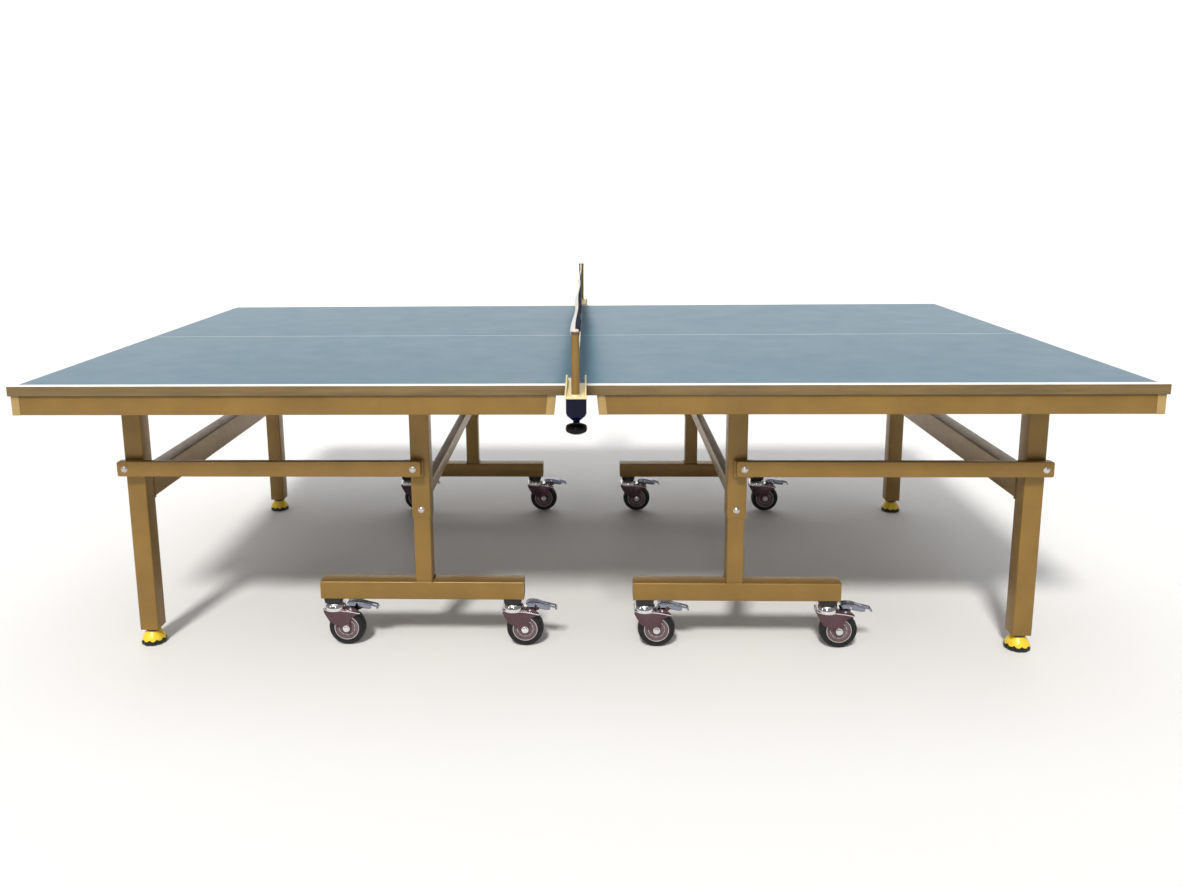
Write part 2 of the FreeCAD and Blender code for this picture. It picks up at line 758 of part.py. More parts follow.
write_pair("tabletop", tabletop())
write_pair("apron_frame", apron_frame())
write_pair("hinge_brackets", hinge_brackets())
write_pair("upper_frame", upper_frame())
write_pair("leg_frame", leg_frame())
write_pair("sleeve_bolts", Part.makeCompound(both_y(sleeve_bolt())))
write_pair("caster_mounts", caster_bosses())

for place, turn in (("rear", lambda shape: shape), ("front", flip_y)):
    write_pair(place + "_t_stand", turn(t_stand()))
    write_pair(place + "_link", turn(link_bar()))
    write_pair(place + "_foot", turn(levelling_foot()))
    write(place + "_net_bracket", turn(net_bracket()))
    write(place + "_clamp_housing", turn(clamp_housing()))
    write(place + "_clamp_jaw", turn(clamp_jaw()))
    write(place + "_clamp_screw", turn(clamp_screw()))

write("net", net())

# all eight casters trail the same way, towards +X
for side, sign in (("right", 1.0), ("left", -1.0)):
    for place, y in (("front", -frame_centre_y), ("rear", frame_centre_y)):
        for end, stem in (("inner", caster_stems()[0]), ("outer", caster_stems()[1])):
            name = side + "_" + place + "_" + end
            write(name + "_fork", caster_fork(sign * stem, y))
            write(name + "_wheel", caster_wheel(sign * stem, y))
            write(name + "_pedal", brake_pedal(sign * stem, y))
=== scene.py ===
import json
import math

import bpy
from mathutils import Matrix, Vector

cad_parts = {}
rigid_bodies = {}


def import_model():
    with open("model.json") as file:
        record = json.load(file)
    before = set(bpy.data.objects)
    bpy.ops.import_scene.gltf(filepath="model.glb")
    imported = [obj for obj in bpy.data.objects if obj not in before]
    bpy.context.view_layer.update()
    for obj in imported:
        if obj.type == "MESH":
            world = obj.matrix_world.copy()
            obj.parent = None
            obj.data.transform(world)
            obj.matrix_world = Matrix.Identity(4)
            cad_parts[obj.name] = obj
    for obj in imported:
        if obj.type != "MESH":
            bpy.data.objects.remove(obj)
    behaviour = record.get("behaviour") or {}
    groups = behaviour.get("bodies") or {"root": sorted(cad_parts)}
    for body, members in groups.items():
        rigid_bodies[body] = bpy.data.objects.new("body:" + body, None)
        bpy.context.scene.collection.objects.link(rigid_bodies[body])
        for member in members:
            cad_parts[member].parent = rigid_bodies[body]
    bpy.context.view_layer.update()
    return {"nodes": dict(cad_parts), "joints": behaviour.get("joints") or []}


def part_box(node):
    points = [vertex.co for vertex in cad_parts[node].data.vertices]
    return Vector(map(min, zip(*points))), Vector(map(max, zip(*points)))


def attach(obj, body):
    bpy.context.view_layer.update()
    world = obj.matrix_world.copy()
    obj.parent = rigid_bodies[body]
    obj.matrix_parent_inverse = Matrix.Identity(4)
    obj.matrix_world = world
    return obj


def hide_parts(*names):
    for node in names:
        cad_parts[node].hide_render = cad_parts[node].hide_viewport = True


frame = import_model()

pivots = {j["name"]: Vector(j["pos_m"]) for j in frame["joints"] if "pos_m" in j}


# selecting, adding and finishing, all with the usual operators

def pickOnly(*pieces):
    bpy.ops.object.select_all(action="DESELECT")
    for piece in pieces:
        piece.select_set(True)
    bpy.context.view_layer.objects.active = pieces[0]


def settle(piece, name=None):
    # the place, turn and size go into the mesh, so that the object stays at the origin
    pickOnly(piece)
    bpy.ops.object.transform_apply(location=True, rotation=True, scale=True)
    if name:
        piece.name = name
        piece.data.name = name
    return piece


def applied(piece, kind, **settings):
    pickOnly(piece)
    modifier = piece.modifiers.new(kind.title(), kind)
    for key, value in settings.items():
        setattr(modifier, key, value)
    bpy.ops.object.modifier_apply(modifier=modifier.name)
    return piece


def smooth(piece, angle=35):
    pickOnly(piece)
    bpy.ops.object.shade_smooth_by_angle(angle=math.radians(angle))
    return piece


def soften(piece, width, segments=2, angle=35):
    applied(piece, "BEVEL", width=width, segments=segments, limit_method="ANGLE",
            angle_limit=math.radians(angle))
    return smooth(piece, angle)


def pickFaces(piece, test):
    # leaves the piece in edit mode with the faces that pass the test selected
    pickOnly(piece)
    bpy.ops.object.mode_set(mode="EDIT")
    bpy.ops.mesh.select_mode(type="FACE")
    bpy.ops.mesh.select_all(action="DESELECT")
    bpy.ops.object.mode_set(mode="OBJECT")
    for face in piece.data.polygons:
        face.select = test(face)
    bpy.ops.object.mode_set(mode="EDIT")


def pickEdges(piece, test):
    pickOnly(piece)
    bpy.ops.object.mode_set(mode="EDIT")
    bpy.ops.mesh.select_mode(type="EDGE")
    bpy.ops.mesh.select_all(action="DESELECT")
    bpy.ops.object.mode_set(mode="OBJECT")
    points = piece.data.vertices
    for edge in piece.data.edges:
        a, b = (points[i].co for i in edge.vertices)
        edge.select = test(a, b)
    bpy.ops.object.mode_set(mode="EDIT")


def done():
    bpy.ops.object.mode_set(mode="OBJECT")


def meshPiece(name, points, lines, faces):
    mesh = bpy.data.meshes.new(name)
    mesh.from_pydata(points, lines, faces)
    piece = bpy.data.objects.new(name, mesh)
    bpy.context.scene.collection.objects.link(piece)
    return piece


def block(name, low, high):
    centre = [(a + b) / 2 for a, b in zip(low, high)]
    bpy.ops.object.select_all(action="DESELECT")
    bpy.ops.mesh.primitive_cube_add(size=1, location=centre, scale=[b - a for a, b in zip(low, high)])
    return settle(bpy.context.active_object, name)


def rod(name, start, radius, length, along="Z", sides=32):
    # starts at a point and runs along an axis
    turn = {"X": (0, math.pi / 2, 0), "Y": (-math.pi / 2, 0, 0), "Z": (0, 0, 0)}[along]
    step = {"X": (1, 0, 0), "Y": (0, 1, 0), "Z": (0, 0, 1)}[along]
    centre = Vector(start) + Vector(step) * length / 2
    bpy.ops.object.select_all(action="DESELECT")
    bpy.ops.mesh.primitive_cylinder_add(vertices=sides, radius=radius, depth=abs(length),
                                        location=centre, rotation=turn)
    return settle(bpy.context.active_object, name)


def lathe(name, profile, centre, along="Z", steps=48):
    # a profile of (radius, height) pairs spun about an axis through the centre
    centre = Vector(centre)
    axis = Vector((0, 0, 1)) if along == "Z" else Vector((0, 1, 0))
    points = [centre + Vector((r, 0, 0)) + axis * h for r, h in profile]
    piece = meshPiece(name, points, [(i, i + 1) for i in range(len(points) - 1)], [])
    pickOnly(piece)
    bpy.ops.object.mode_set(mode="EDIT")
    bpy.ops.mesh.select_all(action="SELECT")
    bpy.ops.mesh.spin(steps=steps, angle=2 * math.pi, center=centre, axis=axis)
    bpy.ops.mesh.select_all(action="SELECT")
    bpy.ops.mesh.remove_doubles(threshold=1e-5)
    bpy.ops.mesh.normals_make_consistent(inside=False)
    done()
    return smooth(piece)


def outlined(name, outline, start, thickness, along="Y"):
    # a flat outline of (x, z) pairs, or (y, z) pairs along X, pulled to its thickness
    if along == "Y":
        points = [(x, start, z) for x, z in outline]
    else:
        points = [(start, y, z) for y, z in outline]
    piece = meshPiece(name, points, [], [tuple(range(len(points)))])
    pickFaces(piece, lambda face: True)
    move = (0, thickness, 0) if along == "Y" else (thickness, 0, 0)
    bpy.ops.mesh.extrude_region_move(TRANSFORM_OT_translate={"value": move})
    bpy.ops.mesh.select_all(action="SELECT")
    bpy.ops.mesh.normals_make_consistent(inside=False)
    done()
    return piece


def joined(name, pieces):
    pickOnly(*pieces)
    bpy.ops.object.join()
    piece = bpy.context.active_object
    piece.name = name
    piece.data.name = name
    return piece


def copied(piece, name, shift=(0, 0, 0), flip=None):
    # a copy with its own mesh, moved, or mirrored through the middle along X or Y
    twin = piece.copy()
    twin.data = piece.data.copy()
    twin.name = name
    twin.data.name = name
    bpy.context.scene.collection.objects.link(twin)
    if flip:
        size = Vector((-1, 1, 1)) if flip == "X" else Vector((1, -1, 1))
        twin.data.transform(Matrix.Diagonal(size.to_4d()))
        pickOnly(twin)
        bpy.ops.object.mode_set(mode="EDIT")
        bpy.ops.mesh.select_all(action="SELECT")
        bpy.ops.mesh.flip_normals()
        done()
    twin.data.transform(Matrix.Translation(shift))
    return twin


def painted(piece, *materials):
    piece.data.materials.clear()
    for material in materials:
        piece.data.materials.append(material)
    return piece


def put(piece, body, nodes):
    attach(piece, body)
    if nodes:
        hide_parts(*nodes)
    return piece


def onBothHalves(piece, body, nodes):
    # the piece is made on the right half; its mirror image goes on the left
    def other(word):
        return word.replace("right", "left")
    twin = copied(piece, other(piece.name), flip="X")
    put(piece, body, nodes)
    put(twin, other(body), [other(node) for node in nodes])


def atBothPosts(rear, body, node):
    # the piece is made at the rear post; its mirror image goes to the front one
    front = copied(rear, rear.name.replace("rear", "front"), flip="Y")
    for piece, place in ((rear, "rear"), (front, "front")):
        put(piece, body.replace("rear", place), [node.replace("rear", place)])


# materials

def newMaterial(name, colour, roughness, metallic=0.0, **sockets):
    material = bpy.data.materials.new(name)
    material.use_nodes = True
    shader = material.node_tree.nodes["Principled BSDF"]
    shader.inputs["Base Color"].default_value = (*colour, 1)
    shader.inputs["Roughness"].default_value = roughness
    shader.inputs["Metallic"].default_value = metallic
    for key, value in sockets.items():
        shader.inputs[key.replace("_", " ")].default_value = value
    material.diffuse_color = (*colour, 1)
    return material, shader, material.node_tree


def noise(tree, scale, detail=3.0, stretch=(1, 1, 1), roughness=0.5):
    coordinates = tree.nodes.new("ShaderNodeTexCoord")
    mapping = tree.nodes.new("ShaderNodeMapping")
    mapping.inputs["Scale"].default_value = stretch
    texture = tree.nodes.new("ShaderNodeTexNoise")
    texture.inputs["Scale"].default_value = scale
    texture.inputs["Detail"].default_value = detail
    texture.inputs["Roughness"].default_value = roughness
    tree.links.new(coordinates.outputs["Object"], mapping.inputs["Vector"])
    tree.links.new(mapping.outputs["Vector"], texture.inputs["Vector"])
    return texture.outputs["Fac"]


def ramp(tree, value, stops):
    # stops are (place, colour) with a colour of three numbers or one
    node = tree.nodes.new("ShaderNodeValToRGB")
    elements = node.color_ramp.elements
    while len(elements) < len(stops):
        elements.new(0.5)
    for element, (place, colour) in zip(elements, stops):
        element.position = place
        shade = colour if isinstance(colour, tuple) else (colour, colour, colour)
        element.color = (*shade, 1)
    tree.links.new(value, node.inputs["Fac"])
    return node.outputs["Color"]


def bump(tree, shader, height, strength, distance):
    node = tree.nodes.new("ShaderNodeBump")
    node.inputs["Strength"].default_value = strength
    node.inputs["Distance"].default_value = distance
    tree.links.new(height, node.inputs["Height"])
    tree.links.new(node.outputs["Normal"], shader.inputs["Normal"])


def shades(colour, low, high):
    return tuple(c * low for c in colour), tuple(c * high for c in colour)


def powderCoat(name, colour, metallic=0.28, roughness=0.36):
    # satin metallic coat: faint cloudiness, fine orange peel and small changes of gloss
    material, shader, tree = newMaterial(name, colour, roughness, metallic)
    dark, light = shades(colour, 0.86, 1.12)
    cloud = noise(tree, 9.0, 5.0)
    tree.links.new(ramp(tree, cloud, [(0.3, dark), (0.72, light)]), shader.inputs["Base Color"])
    gloss = noise(tree, 60.0, 4.0)
    tree.links.new(ramp(tree, gloss, [(0.3, roughness * 0.85), (0.7, roughness * 1.2)]),
                   shader.inputs["Roughness"])
    bump(tree, shader, noise(tree, 900.0, 2.0), 0.12, 0.0004)
    return material


def boardBlue():
    # sprayed and cured playing surface: fine matt grain, slight drift of tone, faint rubbed patches
    colour = (0.068, 0.158, 0.228)
    material, shader, tree = newMaterial("playingBlue", colour, 0.34, Specular_IOR_Level=0.35)
    dark, light = shades(colour, 0.97, 1.04)
    drift = noise(tree, 1.6, 3.0)
    tree.links.new(ramp(tree, drift, [(0.3, dark), (0.7, light)]), shader.inputs["Base Color"])
    rubbed = noise(tree, 11.0, 5.0)
    tree.links.new(ramp(tree, rubbed, [(0.35, 0.35), (0.7, 0.39)]), shader.inputs["Roughness"])
    bump(tree, shader, noise(tree, 1600.0, 2.0), 0.08, 0.0002)
    return material


def linePaint():
    colour = (0.86, 0.87, 0.85)
    material, shader, tree = newMaterial("lineWhite", colour, 0.42)
    worn = noise(tree, 40.0, 6.0, roughness=0.7)
    tree.links.new(ramp(tree, worn, [(0.25, (0.78, 0.79, 0.77)), (0.6, colour)]),
                   shader.inputs["Base Color"])
    bump(tree, shader, noise(tree, 1200.0, 2.0), 0.12, 0.0003)
    return material


def boardEdge():
    # bronze edge band on the panel's rim
    colour = (0.165, 0.108, 0.040)
    material, shader, tree = newMaterial("edgeBronze", colour, 0.45, 0.1)
    dark, light = shades(colour, 0.8, 1.2)
    grain = noise(tree, 7.0, 5.0, stretch=(1, 1, 12))
    tree.links.new(ramp(tree, grain, [(0.3, dark), (0.7, light)]), shader.inputs["Base Color"])
    bump(tree, shader, noise(tree, 500.0, 3.0), 0.15, 0.0003)
    return material


def boardUnderside():
    # sealed fibreboard
    colour = (0.060, 0.045, 0.036)
    material, shader, tree = newMaterial("fibreboardBack", colour, 0.7)
    dark, light = shades(colour, 0.7, 1.4)
    fibre = noise(tree, 130.0, 6.0, roughness=0.7)
    tree.links.new(ramp(tree, fibre, [(0.35, dark), (0.65, light)]), shader.inputs["Base Color"])
    bump(tree, shader, fibre, 0.3, 0.0006)
    return material


def platedSteel(name, colour, roughness, stretch):
    material, shader, tree = newMaterial(name, colour, roughness, 1.0)
    streak = noise(tree, 70.0, 4.0, stretch=stretch)
    tree.links.new(ramp(tree, streak, [(0.3, roughness * 0.7), (0.7, roughness * 1.5)]),
                   shader.inputs["Roughness"])
    dark, light = shades(colour, 0.85, 1.05)
    tree.links.new(ramp(tree, noise(tree, 25.0, 3.0), [(0.3, dark), (0.7, light)]),
                   shader.inputs["Base Color"])
    bump(tree, shader, noise(tree, 260.0, 3.0), 0.06, 0.0004)
    return material


def rubber():
    colour = (0.006, 0.006, 0.0065)
    material, shader, tree = newMaterial("tyreRubber", colour, 0.5, Specular_IOR_Level=0.3)
    dust = noise(tree, 90.0, 6.0, roughness=0.7)
    tree.links.new(ramp(tree, dust, [(0.45, colour), (0.85, (0.026, 0.025, 0.024))]),
                   shader.inputs["Base Color"])
    tree.links.new(ramp(tree, dust, [(0.3, 0.42), (0.7, 0.62)]), shader.inputs["Roughness"])
    bump(tree, shader, noise(tree, 700.0, 3.0), 0.25, 0.0005)
    return material


def moulded(name, colour, roughness, grain=500.0, depth=0.12, shine=0.5):
    material, shader, tree = newMaterial(name, colour, roughness, Specular_IOR_Level=shine)
    dark, light = shades(colour, 0.88, 1.08)
    tree.links.new(ramp(tree, noise(tree, 30.0, 4.0), [(0.3, dark), (0.7, light)]),
                   shader.inputs["Base Color"])
    tree.links.new(ramp(tree, noise(tree, 120.0, 4.0), [(0.3, roughness * 0.85), (0.7, roughness * 1.15)]),
                   shader.inputs["Roughness"])
    bump(tree, shader, noise(tree, grain, 3.0), depth, 0.0003)
    return material


def wovenTape():
    # cotton tape: a plain weave of crossed threads
    colour = (0.80, 0.78, 0.74)
    material, shader, tree = newMaterial("netTapeCotton", colour, 0.85, Sheen_Weight=0.3)
    threads = []
    for direction in ("Y", "Z"):
        coordinates = tree.nodes.new("ShaderNodeTexCoord")
        wave = tree.nodes.new("ShaderNodeTexWave")
        wave.bands_direction = direction
        wave.inputs["Scale"].default_value = 320.0
        wave.inputs["Distortion"].default_value = 0.6
        tree.links.new(coordinates.outputs["Object"], wave.inputs["Vector"])
        threads.append(wave.outputs["Fac"])
    weave = tree.nodes.new("ShaderNodeMath")
    weave.operation = "MULTIPLY"
    tree.links.new(threads[0], weave.inputs[0])
    tree.links.new(threads[1], weave.inputs[1])
    tree.links.new(ramp(tree, weave.outputs[0], [(0.0, (0.60, 0.57, 0.53)), (0.5, colour)]),
                   shader.inputs["Base Color"])
    bump(tree, shader, weave.outputs[0], 0.5, 0.0005)
    return material


def netTwine():
    colour = (0.012, 0.016, 0.030)
    material, shader, tree = newMaterial("netTwine", colour, 0.7, Sheen_Weight=0.4)
    strand = noise(tree, 900.0, 3.0)
    tree.links.new(ramp(tree, strand, [(0.3, colour), (0.75, (0.035, 0.042, 0.070))]),
                   shader.inputs["Base Color"])
    bump(tree, shader, strand, 0.5, 0.0004)
    return material


gold = powderCoat("goldCoat", (0.232, 0.133, 0.028))
# a lighter copy of the gold coat: painted highlight where the bent ends of the apron rails catch the light
goldPaintedHighlight = powderCoat("goldCoatLight", (0.430, 0.290, 0.110))
cream = powderCoat("paleGoldCoat", (0.760, 0.640, 0.330), 0.1, 0.34)
blue = boardBlue()
white = linePaint()
edge = boardEdge()
back = boardUnderside()
zinc = platedSteel("zincPlate", (0.60, 0.58, 0.55), 0.28, (1, 1, 6))
chrome = platedSteel("chromePlate", (0.80, 0.79, 0.81), 0.11, (1, 6, 1))
# fork cheek plating tinted dark maroon: a painted reflection of a dark red floor
cheekPlate = platedSteel("cheekPlate", (0.14, 0.085, 0.095), 0.24, (1, 6, 1))
pedalSteel = platedSteel("pedalSteel", (0.27, 0.29, 0.36), 0.18, (1, 6, 1))
tyre = rubber()
blackPlastic = moulded("blackPlastic", (0.006, 0.006, 0.007), 0.36)
glossBlack = moulded("glossBlackPlastic", (0.002, 0.002, 0.003), 0.14, 200.0, 0.04, 0.18)
navy = moulded("navyPlastic", (0.002, 0.003, 0.026), 0.14, 200.0, 0.04, 0.18)
hubGrey = moulded("hubGrey", (0.13, 0.085, 0.090), 0.30)
# bright plating on the hub's ridges: real ridges, with a painted highlight on them
hubRing = platedSteel("hubRing", (0.72, 0.70, 0.72), 0.16, (1, 6, 1))
yellow = moulded("yellowPlastic", (0.86, 0.60, 0.030), 0.35)
darkNut = moulded("darkNut", (0.050, 0.030, 0.020), 0.4)
postCap = moulded("postCap", (0.78, 0.62, 0.56), 0.4)
cotton = wovenTape()
twine = netTwine()
print("materials are ready")


# camera, lights and floor

cameraPlace = {
    "location": (0.0303, -2.9921, 1.2266),
    "yaw": 2.082, "pitch": -10.262, "roll": 0.560,   # degrees
    "lens": 29.51, "shiftX": 0.0309, "shiftY": -0.0715,
}


def addCamera():
    data = bpy.data.cameras.new("camera")
    camera = bpy.data.objects.new("camera", data)
    bpy.context.scene.collection.objects.link(camera)
    data.sensor_width = 36.0
    data.lens = cameraPlace["lens"]
    data.shift_x = cameraPlace["shiftX"]
    data.shift_y = cameraPlace["shiftY"]
    data.clip_end = 60.0
    turn = (Matrix.Rotation(math.radians(cameraPlace["yaw"]), 3, "Z")
            @ Matrix.Rotation(math.radians(cameraPlace["pitch"]), 3, "X")
            @ Matrix.Rotation(math.radians(cameraPlace["roll"]), 3, "Y"))
    right, ahead, up = turn.col[0], turn.col[1], turn.col[2]
    camera.matrix_world = Matrix.Translation(cameraPlace["location"]) @ Matrix(
        (right, up, -ahead)).transposed().to_4x4()
    bpy.context.scene.camera = camera


studio = {
    "keyHeight": 47, "keySide": -12, "keyStrength": 2.9, "keySoftness": 9,   # degrees
    "fillStrength": 1.0, "fillSoftness": 70, "surround": 0.24,
    "wallDistance": 9.0, "wallHeight": 9.0, "wallCurve": 5.0,
}
strips = {
    # name: (place, aimed at, width, height, watts)
    "stripFront": ((0.25, -3.6, 1.7), (0, -0.8, 0.7), 0.10, 1.8, 9),
    "stripLeft": ((-2.8, -3.0, 1.9), (-0.6, -0.5, 0.2), 0.35, 1.6, 8),
}


def addSun(name, height, side, strength, softness, colour):
    # height and side are degrees above the floor and to the right of straight in front
    data = bpy.data.lights.new(name, "SUN")
    data.energy = strength
    data.angle = math.radians(softness)
    data.color = colour
    lamp = bpy.data.objects.new(name, data)
    bpy.context.scene.collection.objects.link(lamp)
    lamp.rotation_euler = (math.radians(90 - height), 0, math.radians(side))


def addLights():
    addSun("key", studio["keyHeight"], studio["keySide"], studio["keyStrength"], studio["keySoftness"],
           (1.0, 0.97, 0.92))
    addSun("fill", 85, 0, studio["fillStrength"], studio["fillSoftness"], (0.96, 0.98, 1.0))
    for name, (place, aim, width, height, watts) in strips.items():
        data = bpy.data.lights.new(name, "AREA")
        data.shape = "RECTANGLE"
        data.size = width
        data.size_y = height
        data.energy = watts
        lamp = bpy.data.objects.new(name, data)
        bpy.context.scene.collection.objects.link(lamp)
        lamp.location = place
        lamp.rotation_euler = (Vector(aim) - Vector(place)).to_track_quat("-Z", "Y").to_euler()
    world = bpy.data.worlds.new("studio")
    world.use_nodes = True
    world.node_tree.nodes["Background"].inputs["Color"].default_value = (1.0, 0.985, 0.97, 1)
    world.node_tree.nodes["Background"].inputs["Strength"].default_value = studio["surround"]
    bpy.context.scene.world = world
    bpy.context.scene.view_settings.view_transform = "Standard"


def addFloor():
    # a pale floor that curves up into a pale wall behind
    far = studio["wallDistance"]
    floor = meshPiece("floor", [(-30, -20, 0), (30, -20, 0), (30, far, 0), (-30, far, 0),
                                (30, far, studio["wallHeight"]), (-30, far, studio["wallHeight"])],
                      [], [(0, 1, 2, 3), (3, 2, 4, 5)])
    applied(floor, "BEVEL", width=studio["wallCurve"], segments=24, limit_method="ANGLE")
    smooth(floor, 40)
    material, shader, tree = newMaterial("paleFloor", (0.78, 0.78, 0.78), 0.7)
    painted(floor, material)


addCamera()
addLights()
addFloor()
print("camera, lights and floor are in place")


# the two playing panels

panel = {
    "sideLine": 0.020,        # white line along the sides and ends
    "centreLine": 0.003,
    "cornerRadius": 0.002,
    "edgeRadius": 0.0008,
}


def makePanel():
    low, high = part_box("right_tabletop")
    board = block("right_panel", low, high)
    pickEdges(board, lambda a, b: abs(a.z - b.z) > 0.01)
    bpy.ops.mesh.bevel(offset=panel["cornerRadius"], segments=4)
    done()
    soften(board, panel["edgeRadius"], 2, 50)
    half = panel["centreLine"] / 2
    cuts = [("Y", -half), ("Y", half), ("X", high.x - panel["sideLine"]),
            ("Y", low.y + panel["sideLine"]), ("Y", high.y - panel["sideLine"])]
    for along, place in cuts:
        pickFaces(board, lambda face: face.normal.z > 0.9)
        spot, normal = ((0, place, 0), (0, 1, 0)) if along == "Y" else ((place, 0, 0), (1, 0, 0))
        bpy.ops.mesh.bisect(plane_co=spot, plane_no=normal)
        done()
    painted(board, blue, white, edge, back)
    for face in board.data.polygons:
        x, y, z = face.center
        line = (abs(y) < half or x > high.x - panel["sideLine"]
                or abs(y) > high.y - panel["sideLine"])
        if face.normal.z > 0.3:
            face.material_index = 1 if line else 0
        elif face.normal.z < -0.3:
            face.material_index = 3
        else:
            face.material_index = 2
    onBothHalves(board, "right_top", ["right_tabletop"])


makePanel()
print("panels are made")


# square tubes, plates and weld beads

tubing = {"corner": 0.0035, "wall": 0.002, "beadSize": 0.0030, "beadStep": 0.0042}


def squareTube(name, low, high, along="Z", openEnds="", capDepth=0.0012, wall=None, corner=None):
    # a tube with rounded corners; a named end is open, the others have a slightly sunk cap
    wall = wall or tubing["wall"]
    corner = corner or tubing["corner"]
    axis = "XYZ".index(along)
    low, high = Vector(low), Vector(high)
    piece = block(name, low, high)
    pickEdges(piece, lambda a, b: abs(a[axis] - b[axis]) > 1e-4)
    bpy.ops.mesh.bevel(offset=corner, segments=3)
    done()
    for end, sign in (("low", -1), ("high", 1)):
        depth = 0.04 if end in openEnds else capDepth
        pickFaces(piece, lambda face: face.normal[axis] * sign > 0.9)
        bpy.ops.mesh.inset(thickness=wall, depth=0)
        move = [0, 0, 0]
        move[axis] = -sign * depth
        bpy.ops.mesh.extrude_region_move(TRANSFORM_OT_translate={"value": move})
        done()
    return smooth(piece, 40)


def weld(start, end):
    # a row of small overlapping drops along a joint
    start, end = Vector(start), Vector(end)
    length = (end - start).length
    count = max(2, round(length / tubing["beadStep"]))
    bpy.ops.object.select_all(action="DESELECT")
    bpy.ops.mesh.primitive_uv_sphere_add(segments=8, ring_count=5, radius=tubing["beadSize"], location=start)
    drop = settle(bpy.context.active_object, "weld")
    step = (end - start) / count
    applied(drop, "ARRAY", count=count + 1, use_relative_offset=False, use_constant_offset=True,
            constant_offset_displace=step)
    return smooth(drop, 80)


def weldLoop(corners):
    return [weld(a, b) for a, b in zip(corners, corners[1:] + corners[:1])]


def ringAlong(axis, place, lowA, highA, lowB, highB):
    # the four corners of a rectangle that faces along an axis
    pairs = [(lowA, lowB), (highA, lowB), (highA, highB), (lowA, highB)]
    corners = []
    for a, b in pairs:
        spot = [a, b]
        spot.insert("XYZ".index(axis), place)
        corners.append(tuple(spot))
    return corners


apron = {
    "thickness": 0.020, "slant": 0.005, "beamReach": 0.5,
    "corner": 0.0022, "flapWidth": 0.020, "flapThickness": 0.0008,
    "strapWidth": 0.040, "strapThickness": 0.005, "beam": 0.025,
}


def makeApron():
    low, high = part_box("right_apron_frame")
    thick = apron["thickness"]
    startX = low.x
    parts = []
    flapsPaintedHighlight = []
    for sign in (-1, 1):
        outer = sign * high.y
        inner = sign * (high.y - thick)
        y0, y1 = min(outer, inner), max(outer, inner)
        rail = block("rail", (startX, y0, low.z), (high.x, y1, high.z))
        # the lower corner at the net end stands further back
        pickOnly(rail)
        for point in rail.data.vertices:
            if point.co.x < startX + 0.01 and point.co.z < low.z + 0.01:
                point.co.x += apron["slant"]
        parts.append(painted(soften(rail, apron["corner"], 3, 50), gold))
        proud = apron["flapThickness"]
        face = outer + sign * proud
        f0, f1 = min(outer, face), max(outer, face)
        for end, x0 in (("net", startX), ("far", high.x - apron["flapWidth"])):
            flap = block("flap", (x0, f0, low.z), (x0 + apron["flapWidth"], f1, high.z))
            for point in flap.data.vertices:
                if end == "net" and point.co.z < low.z + 0.01:
                    point.co.x += apron["slant"]
            # the end flaps get the lighter gold coat, a painted highlight for the bent rail ends catching the
            # light
            flapsPaintedHighlight.append(painted(soften(flap, 0.0004, 2, 50), goldPaintedHighlight))
    endRail = block("endRail", (high.x - thick, low.y + thick, low.z), (high.x, high.y - thick, high.z))
    parts.append(painted(soften(endRail, apron["corner"], 3, 50), gold))
    strapX = startX + apron["strapWidth"]
    strap = block("strap", (startX, low.y + thick, high.z - apron["strapThickness"]),
                  (strapX, high.y - thick, high.z))
    parts.append(painted(soften(strap, 0.0006, 2, 50), gold))
    beamY = apron["beamReach"]
    beamTop = high.z - apron["strapThickness"]
    beam = squareTube("beam", (strapX - apron["beam"], -beamY, beamTop - apron["beam"]),
                      (strapX, beamY, beamTop), "Y", wall=0.0015, corner=0.002)
    parts.append(painted(beam, gold))
    for sign in (-1, 1):
        y = sign * (high.y - thick)
        beads = [weld((high.x - thick, y, low.z + 0.003), (high.x - thick, y, high.z - 0.003)),
                 weld((startX + 0.006, y, beamTop), (strapX - 0.003, y, beamTop))]
        parts += [painted(bead, gold) for bead in beads]
    frameOnBoard = joined("right_apron", parts)
    flaps = joined("right_apron_end_flaps", flapsPaintedHighlight)
    onBothHalves(frameOnBoard, "right_top", ["right_apron_frame"])
    onBothHalves(flaps, "right_top", [])


makeApron()
print("aprons are made")


screws = {"radius": 0.0045, "rise": 0.0022, "slot": 0.0011, "spacing": 0.19}


def screwHead(name, place, facing):
    # pan head with a cross recess, facing along -Z or +-Y
    r, h = screws["radius"], screws["rise"]
    profile = [(0, h), (r * 0.45, h * 0.98), (r * 0.85, h * 0.66), (r, h * 0.2), (r, 0), (0, 0)]
    head = lathe(name, profile, (0, 0, 0), steps=20)
    cutters = [block("cut", (-r * 0.6, -screws["slot"] / 2, h * 0.4), (r * 0.6, screws["slot"] / 2, h * 2)),
               block("cut", (-screws["slot"] / 2, -r * 0.6, h * 0.4), (screws["slot"] / 2, r * 0.6, h * 2))]
    for cutter in cutters:
        applied(head, "BOOLEAN", operation="DIFFERENCE", object=cutter, solver="EXACT")
        bpy.data.objects.remove(cutter)
    turn = Vector((0, 0, 1)).rotation_difference(Vector(facing)).to_matrix().to_4x4()
    head.data.transform(Matrix.Translation(place) @ turn)
    return smooth(head, 40)


